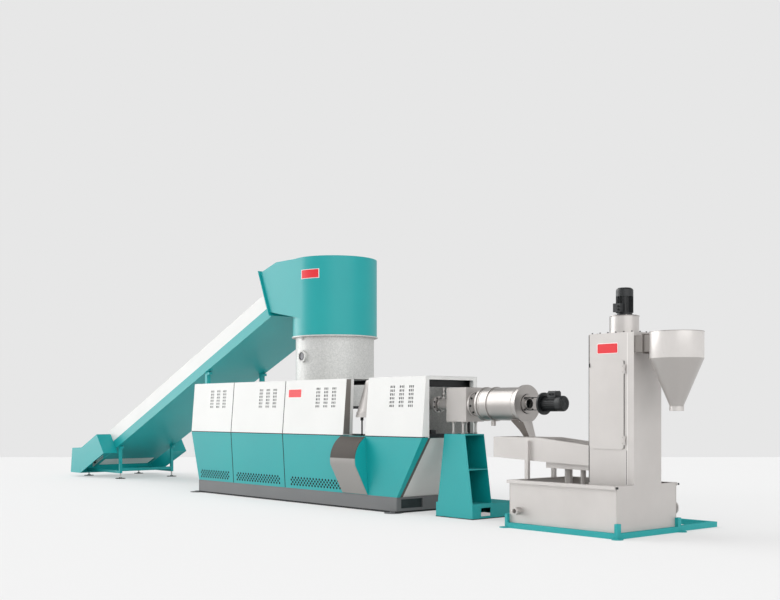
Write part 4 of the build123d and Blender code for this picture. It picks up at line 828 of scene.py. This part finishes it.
def drum_details():
    """Bolts and gasket under the casing's rim, the lifting lug, and the sight port's bolts and seal."""
    places = round_circle((0, 0, 2.795), face_down, radius=0.728, count=24, first=7.5)
    bolts("rim_bolts", bright_steel, places, 0.010)
    gasket = ring((0, 0, 2.7935), (0, 0, 2.7965), outer=0.757, inner=0.695, sides=128)
    place_piece(gasket, "rim_gasket", weld_bead)
    lug_turn = math.radians(-2.0)
    lug = joined([
        block((-0.020, -0.722, 2.742), (0.020, -0.688, 2.792), edge=0.004, steps=2),
        rod((0, -0.726, 2.764), (0, -0.700, 2.764), radius=0.012, sides=16, edge=0.002),
    ])
    lug.matrix_world = Matrix.Rotation(lug_turn, 4, "Z")
    place_piece(settled(lug), "lifting_lug", finishes["white_paint"])
    port_height = 2.455
    places = round_circle((0, -0.734, port_height), face_front, radius=0.088, count=8, first=22.5)
    bolts("sight_port_bolts", bright_steel, places, 0.006)
    seal = ring((0, -0.7355, port_height), (0, -0.730, port_height), outer=0.073, inner=0.066, edge=0.001)
    place_piece(seal, "sight_port_seal", gasket_and_shadow_rubber)


def tower_details():
    """Lid and pedestal bolts, pedestal rings and seam, sheet joints, corner strip, latch and hinge screws."""
    lid_top, lid_front, lid_rear = 2.452, -1.185, -0.680
    spots = [(6.725 + 0.119 * n, y, lid_top) for n in range(6) for y in (lid_front, lid_rear)]
    spots += [(x, lid_front + 0.126 * n, lid_top) for n in range(1, 4) for x in (6.703, 7.345)]
    bolts("lid_bolts", bolt_steel, at(spots), 0.009, height=0.015)
    pedestal, pedestal_top = (7.020, -0.930), 2.6745
    rim = ring((*pedestal, 2.665), (*pedestal, pedestal_top), outer=0.182, inner=0.106, sides=64, edge=0.002)
    place_piece(rim, "pedestal_rim", bright_steel)
    seam = rod((6.8755, -1.0295, 2.462), (6.8755, -1.0295, 2.664), radius=0.0065, sides=12, edge=0.002)
    place_piece(seam, "pedestal_seam", dark_steel)
    foot = ring((*pedestal, 2.4515), (*pedestal, 2.461), outer=0.188, inner=0.174, sides=64, edge=0.002)
    place_piece(foot, "pedestal_foot_ring", bright_steel)
    places = round_circle((*pedestal, pedestal_top), face_up, radius=0.145, count=6, first=15.0)
    bolts("pedestal_bolts", bright_steel, places, 0.009)
    lines = [
        block((6.684, -1.2065, 0.622), (6.695, -1.204, 2.440), edge=0),
        block((7.219, -1.2068, 1.050), (7.2255, -1.2045, 2.110), edge=0),
        block((7.257, -1.2068, 0.622), (7.263, -1.2045, 1.030), edge=0),
    ]
    place_piece(joined(lines), "tower_edge_lines", gasket_and_shadow_rubber)
    # The flat corner strip is painted lighter than the front, as painted light standing in for a chamfered
    # corner.
    strip = block((7.264, -1.2075, 0.619), (7.3645, -1.2045, 2.443), edge=0.001)
    place_piece(strip, "tower_corner_strip", panel_steel)
    latch = joined([
        block((6.699, -1.224, 2.040), (6.712, -1.2145, 2.092), steps=2),
        rod((6.7055, -1.223, 2.066), (6.7055, -1.230, 2.066), radius=0.005, sides=16, edge=0.001),
    ])
    place_piece(latch, "door_latch", bolt_steel, "tower_door")
    spots = [(7.205, -1.2150, hinge + shift) for hinge in (1.149, 2.008) for shift in (-0.035, 0.035)]
    screws = copies(hex_bolt(0.006, height=0.004), at(spots, face_front))
    place_piece(screws, "hinge_screws", bright_steel, "tower_door")


def cyclone_details():
    """Rolled rim, weld beads, spout collar, upright seam and duct flange bolts of the cyclone."""
    centre = (7.800, -0.970)
    rim = wire_ring((*centre, 2.433), face_up, radius=0.3145, wire=0.004, turns=96, sides=10)
    place_piece(rim, "cyclone_rim", bright_steel)
    beads = [
        wire_ring((*centre, 2.120), face_up, radius=0.3135, wire=0.0028, turns=96, sides=6),
        wire_ring((*centre, 1.566), face_up, radius=0.0815, wire=0.0025, turns=48, sides=6),
    ]
    place_piece(joined(beads), "cyclone_weld_beads", weld_bead)
    collar = ring((*centre, 1.5065), (*centre, 1.560), outer=0.0845, inner=0.0812, sides=64, edge=0.001)
    place_piece(collar, "spout_collar", spun_steel)
    seam = rod((7.5405, -1.1490, 2.128), (7.5405, -1.1490, 2.424), radius=0.0055, sides=12, edge=0.002)
    place_piece(seam, "cyclone_seam", dark_steel)
    spots = [(7.478, y, z) for y in (-1.195, -1.055) for z in (2.212, 2.303, 2.394)]
    bolts("duct_bolts", bright_steel, at(spots, face_left), 0.007)


def tank_details():
    """Hose tail rings, drain bolts, corner welds, and dark blocks of painted shade in the rim's open ends, on
    the water tank.
    """
    rings = []
    for y in (-1.556, -1.580, -1.604):
        start, end = (5.840, y, 0.230), (5.840, y - 0.012, 0.230)
        rings.append(ring(start, end, outer=0.050, inner=0.0435, sides=32, edge=0.002))
    place_piece(joined(rings), "hose_tail_rings", bright_steel)
    places = round_circle((7.200, -0.180, 0.283), face_rear, radius=0.072, count=4, first=45.0)
    bolts("drain_bolts", bolt_steel, places, 0.008)
    welds = []
    for x, y in ((5.664, -1.537), (7.365, -1.537), (7.365, -0.352), (5.664, -0.352)):
        welds.append(rod((x, y, 0.075), (x, y, 0.575), radius=0.0035, sides=10))
    place_piece(joined(welds), "tank_corner_welds", weld_bead)
    # Dark blocks in the rim's open ends: painted shade inside the hollow rim.
    shade_blocks = [
        block((7.374, -1.566, 0.585), (7.396, -1.540, 0.611), edge=0.003),
        block((7.385, -0.349, 0.585), (7.397, -0.323, 0.611), edge=0.003),
    ]
    place_piece(joined(shade_blocks), "rim_end_shade_blocks", bolt_steel)


def channel_foot(x):
    """Height of the conveyor channels' lower edge at a place along the line."""
    slope, mouth_x, mouth_height, depth = math.radians(22.6), -1.004, 3.409, 0.190
    return mouth_height - (mouth_x - x) * math.tan(slope) - depth / math.cos(slope)


def beside_channel(x, side, lift):
    """A point on a channel's outer face, at a height above its lower edge."""
    outer_face = 0.707
    return (x, side * outer_face, channel_foot(x) + lift)


def conveyor_details():
    """Tail bearings, leg brackets, take-up rods, and foot pads drawn as wide dark discs that are partly
    painted shadows, of the loading conveyor.
    """
    tail_x, tail_z, leg_y = -8.094, 0.352, 0.64
    bearings = []
    for side in (-1, 1):
        body = [(tail_x, side * y, tail_z) for y in (0.700, 0.735)]
        cap = [(tail_x, side * y, tail_z) for y in (0.733, 0.748)]
        bearings.append(rod(*body, radius=0.050, edge=0.006))
        bearings.append(rod(*cap, radius=0.026, sides=20, edge=0.004))
    place_piece(joined(bearings), "tail_bearings", bolt_steel)
    length, top_gap, foot_gap = 0.075, 0.010, 0.062
    brackets = []
    for leg_x, tube in ((-6.97, 0.060), (-3.26, 0.080)):
        near = leg_x + tube / 2
        under = channel_foot(near)
        for side in (-1, 1):
            low = (near, side * leg_y - tube / 2, under - foot_gap)
            high = (near + length, side * leg_y + tube / 2, under - top_gap)
            brackets.append(block(low, high, edge=0.003))
    place_piece(joined(brackets), "leg_brackets", finishes["teal_paint"])
    rods = []
    for side in (-1, 1):
        for lift in (0.030, 0.075):
            ends = beside_channel(-8.215, side, lift), beside_channel(-7.700, side, lift)
            rods.append(rod(*ends, radius=0.011, sides=12, edge=0.002))
        ends = beside_channel(-8.160, side, 0.01), beside_channel(-8.190, side, 0.10)
        rods.append(rod(*ends, radius=0.014, sides=8, edge=0.002))
    place_piece(joined(rods), "take_up_rods", finishes["stainless"])
    # Wide dark discs under the feet: part rubber pad, part painted shadow on the floor.
    pad = joined([
        rod((0, 0, 0.0005), (0, 0, 0.012), radius=0.110, sides=40, edge=0.003),
        rod((0, 0, 0.011), (0, 0, 0.026), radius=0.040, sides=24, edge=0.003),
    ])
    spots = [(x, side * leg_y, 0) for x in (-6.97, -8.56) for side in (-1, 1)]
    place_piece(copies(pad, at(spots)), "conveyor_foot_pads_and_shadows", black_rubber)


def housing_details():
    """End liner, end post, panel joint and foot discs of the extruder housing and the stand, with painted
    shade in the cover's end gap and the plinth's recess, and painted contact shadows along the stand's and
    plinth's feet.
    """
    liner = block((2.7353, -0.3683, 1.1193), (3.7477, -0.3643, 2.0067), edge=0.001)
    place_piece(liner, "end_liner", finishes["galvanised"])
    # A sheet of painted shade on the third cover's end return, in the narrow gap beside the block.
    end, low, high, low_y, high_y = 2.0875, 1.145, 1.998, -1.335, -1.300
    shade_sheet = flat_sheet([
        (end, front_face(low) + 0.004, low), (end, front_face(high) + 0.004, high),
        (end, high_y, high), (end, low_y, low),
    ])
    place_piece(shade_sheet, "cover_end_shade_sheet", gasket_and_shade_steel)
    post = flat_sheet([(end, low_y, low), (end, high_y, high), (end, -1.245, high), (end, -1.275, low)])
    place_piece(post, "cover_end_post", finishes["white_paint"])
    joint = flat_sheet([
        (3.2796, -1.3395, 0.2355), (3.8926, -1.3395, 1.1159),
        (3.8926, -1.2900, 1.1159), (3.2796, -1.2800, 0.2355),
    ], thickness=0.003)
    place_piece(joint, "end_panel_joint", dark_steel)
    # A dark sheet at the back of the plinth's end recess: painted shade.
    recess = block((3.2605, -1.3195, 0.0705), (3.2635, -0.8905, 0.2035), edge=0)
    place_piece(recess, "plinth_recess_shade_sheet", recess_shade_sheet)
    # Thin black strips along the stand's and plinth's feet: painted contact shadows on the floor.
    left, right, front, rear, width, top = 3.939, 4.680, -1.234, -0.246, 0.008, 0.011
    seal = [block((left, y, 0), (right, y + width, top), edge=0.001) for y in (front, rear - width)]
    seal += [block((x, front, 0), (x + width, rear, top), edge=0.001) for x in (left, right - width)]
    place_piece(joined(seal), "stand_contact_shadow", gasket_and_shadow_rubber)
    plinth_shadow_strips = [
        block((-2.29, -1.404, 0.004), (3.284, -1.392, 0.031), edge=0),
        block((3.272, -1.400, 0.004), (3.284, -0.386, 0.031), edge=0),
    ]
    place_piece(joined(plinth_shadow_strips), "plinth_contact_shadow", gasket_and_shadow_rubber)
    disc = joined([
        rod((0, 0, 0), (0, 0, 0.010), radius=0.135, sides=48, edge=0.003),
        rod((0, 0, 0.009), (0, 0, 0.024), radius=0.050, sides=32, edge=0.003),
    ])
    feet = ((-2.36, -1.40), (3.20, -1.40), (3.20, -0.42), (-2.36, -0.42))
    discs = copies(disc, at([(x, y, 0.0005) for x, y in feet]))
    place_piece(discs, "plinth_foot_discs", finishes["grey_paint"])


round_nodes = (
    "compactor_casing", "casing_lid", "cutter_drum", "sight_ring", "cutter_housing", "cutter_end_plate",
    "die_adapter", "extruder_barrel", "feed_cone", "cyclone", "cyclone_duct", "dryer_motor", "cutter_motor",
    "compactor_motor", "motor_pedestal", "conveyor_rollers", "conveyor_belt", "side_hood", "hood_cheeks",
    "mouth_flange", "water_tank", "changer_studs", "cone_rods", "pellet_chute", "levelling_feet",
    "tray_supports", "motor_yoke", "plinth_feet", "sight_pane", "conveyor_legs", "door_hinges",
)
smoothing = round_faces()
for node in round_nodes:
    modifier = frame["nodes"][node].modifiers.new("round_faces", "NODES")
    modifier.node_group = smoothing

cover_seams()
vent_inserts()
perforations()
flat_plates()
casing_plate()
extruder_fittings()
chute_sheets()
probe_fittings()
motor_details()
drum_details()
tower_details()
cyclone_details()
tank_details()
conveyor_details()
housing_details()

# Studio: pale floor, a lighter world seen only by the camera and in reflections, soft suns


def studio_floor():
    """Pale floor that ends in a straight line far behind the object."""
    turn = math.radians(camera_turn)
    forward = Vector((-math.sin(turn), math.cos(turn), 0.0))
    centre = Vector((camera_place[0], camera_place[1], 0.0)) + forward * (
        floor_far_depth - floor_length / 2
    )
    bpy.ops.mesh.primitive_plane_add(size=1.0, location=centre, rotation=(0, 0, turn))
    floor = bpy.context.object
    floor.scale = (floor_width, floor_length, 1.0)
    floor.name = "studio_floor"
    material, tree, output, _ = new_material("pale_floor")
    path = add_node(tree, "ShaderNodeLightPath")
    lit = add_node(tree, "ShaderNodeBsdfDiffuse", {"Color": linear(floor_colour)})
    glow = add_node(tree, "ShaderNodeEmission", {"Color": linear(floor_colour)})
    seen = add_node(
        tree, "ShaderNodeMath", {"operation": "MULTIPLY", 1: floor_glow},
        {0: path.outputs["Is Camera Ray"]},
    )
    mixed = add_node(
        tree, "ShaderNodeMixShader", links={0: seen.outputs[0], 1: lit.outputs[0], 2: glow.outputs[0]}
    )
    tree.links.new(mixed.outputs[0], output.inputs["Surface"])
    floor.data.materials.append(material)


def studio_world():
    """Soft white surround, shown as the pale wall to the camera and in reflections."""
    world = bpy.data.worlds.new("studio")
    bpy.context.scene.world = world
    world.use_nodes = True
    tree = world.node_tree
    tree.nodes.clear()
    path = add_node(tree, "ShaderNodeLightPath")
    direct = add_node(
        tree, "ShaderNodeMath", {"operation": "ADD", "use_clamp": True},
        {0: path.outputs["Is Camera Ray"], 1: path.outputs["Is Glossy Ray"]},
    )
    shown = add_node(
        tree, "ShaderNodeMath", {"operation": "ADD", "use_clamp": True},
        {0: direct.outputs[0], 1: path.outputs["Is Transmission Ray"]},
    )
    surround = add_node(
        tree, "ShaderNodeBackground", {"Color": (1, 1, 1, 1), "Strength": ambient_strength}
    )
    direction = add_node(tree, "ShaderNodeTexCoord").outputs["Generated"]
    height = add_node(tree, "ShaderNodeSeparateXYZ", links={"Vector": direction}).outputs["Z"]
    ceiling = add_node(
        tree, "ShaderNodeMapRange",
        {"From Min": ceiling_from, "From Max": ceiling_full, "To Min": 1.0, "To Max": ceiling_strength},
        {"Value": height},
    )
    wall = add_node(
        tree, "ShaderNodeBackground", {"Color": linear(wall_colour)},
        {"Strength": ceiling.outputs["Result"]},
    )
    mixed = add_node(
        tree, "ShaderNodeMixShader",
        links={0: shown.outputs[0], 1: surround.outputs[0], 2: wall.outputs[0]},
    )
    output = add_node(tree, "ShaderNodeOutputWorld")
    tree.links.new(mixed.outputs[0], output.inputs["Surface"])


def studio_sun(name, direction, strength, spread):
    """A broad soft light that comes from one direction."""
    bpy.ops.object.light_add(type="SUN")
    sun = bpy.context.object
    sun.name = name
    sun.rotation_mode = "QUATERNION"
    sun.rotation_quaternion = Vector(direction).to_track_quat("Z", "Y")
    sun.data.energy = strength
    sun.data.angle = math.radians(spread)


studio_floor()
studio_world()
studio_sun("key_light", key_direction, key_strength, key_spread)
studio_sun("fill_light", fill_direction, fill_strength, fill_spread)
studio_sun("front_light", front_direction, front_strength, front_spread)

bpy.ops.object.camera_add(
    location=camera_place, rotation=(math.radians(90), 0, math.radians(camera_turn))
)
camera = bpy.context.object
camera.data.lens = camera_lens
camera.data.sensor_width = camera_sensor
camera.data.shift_y = horizon_shift
camera.data.clip_end = 200.0
bpy.context.scene.camera = camera
bpy.context.scene.view_settings.view_transform = "Standard"
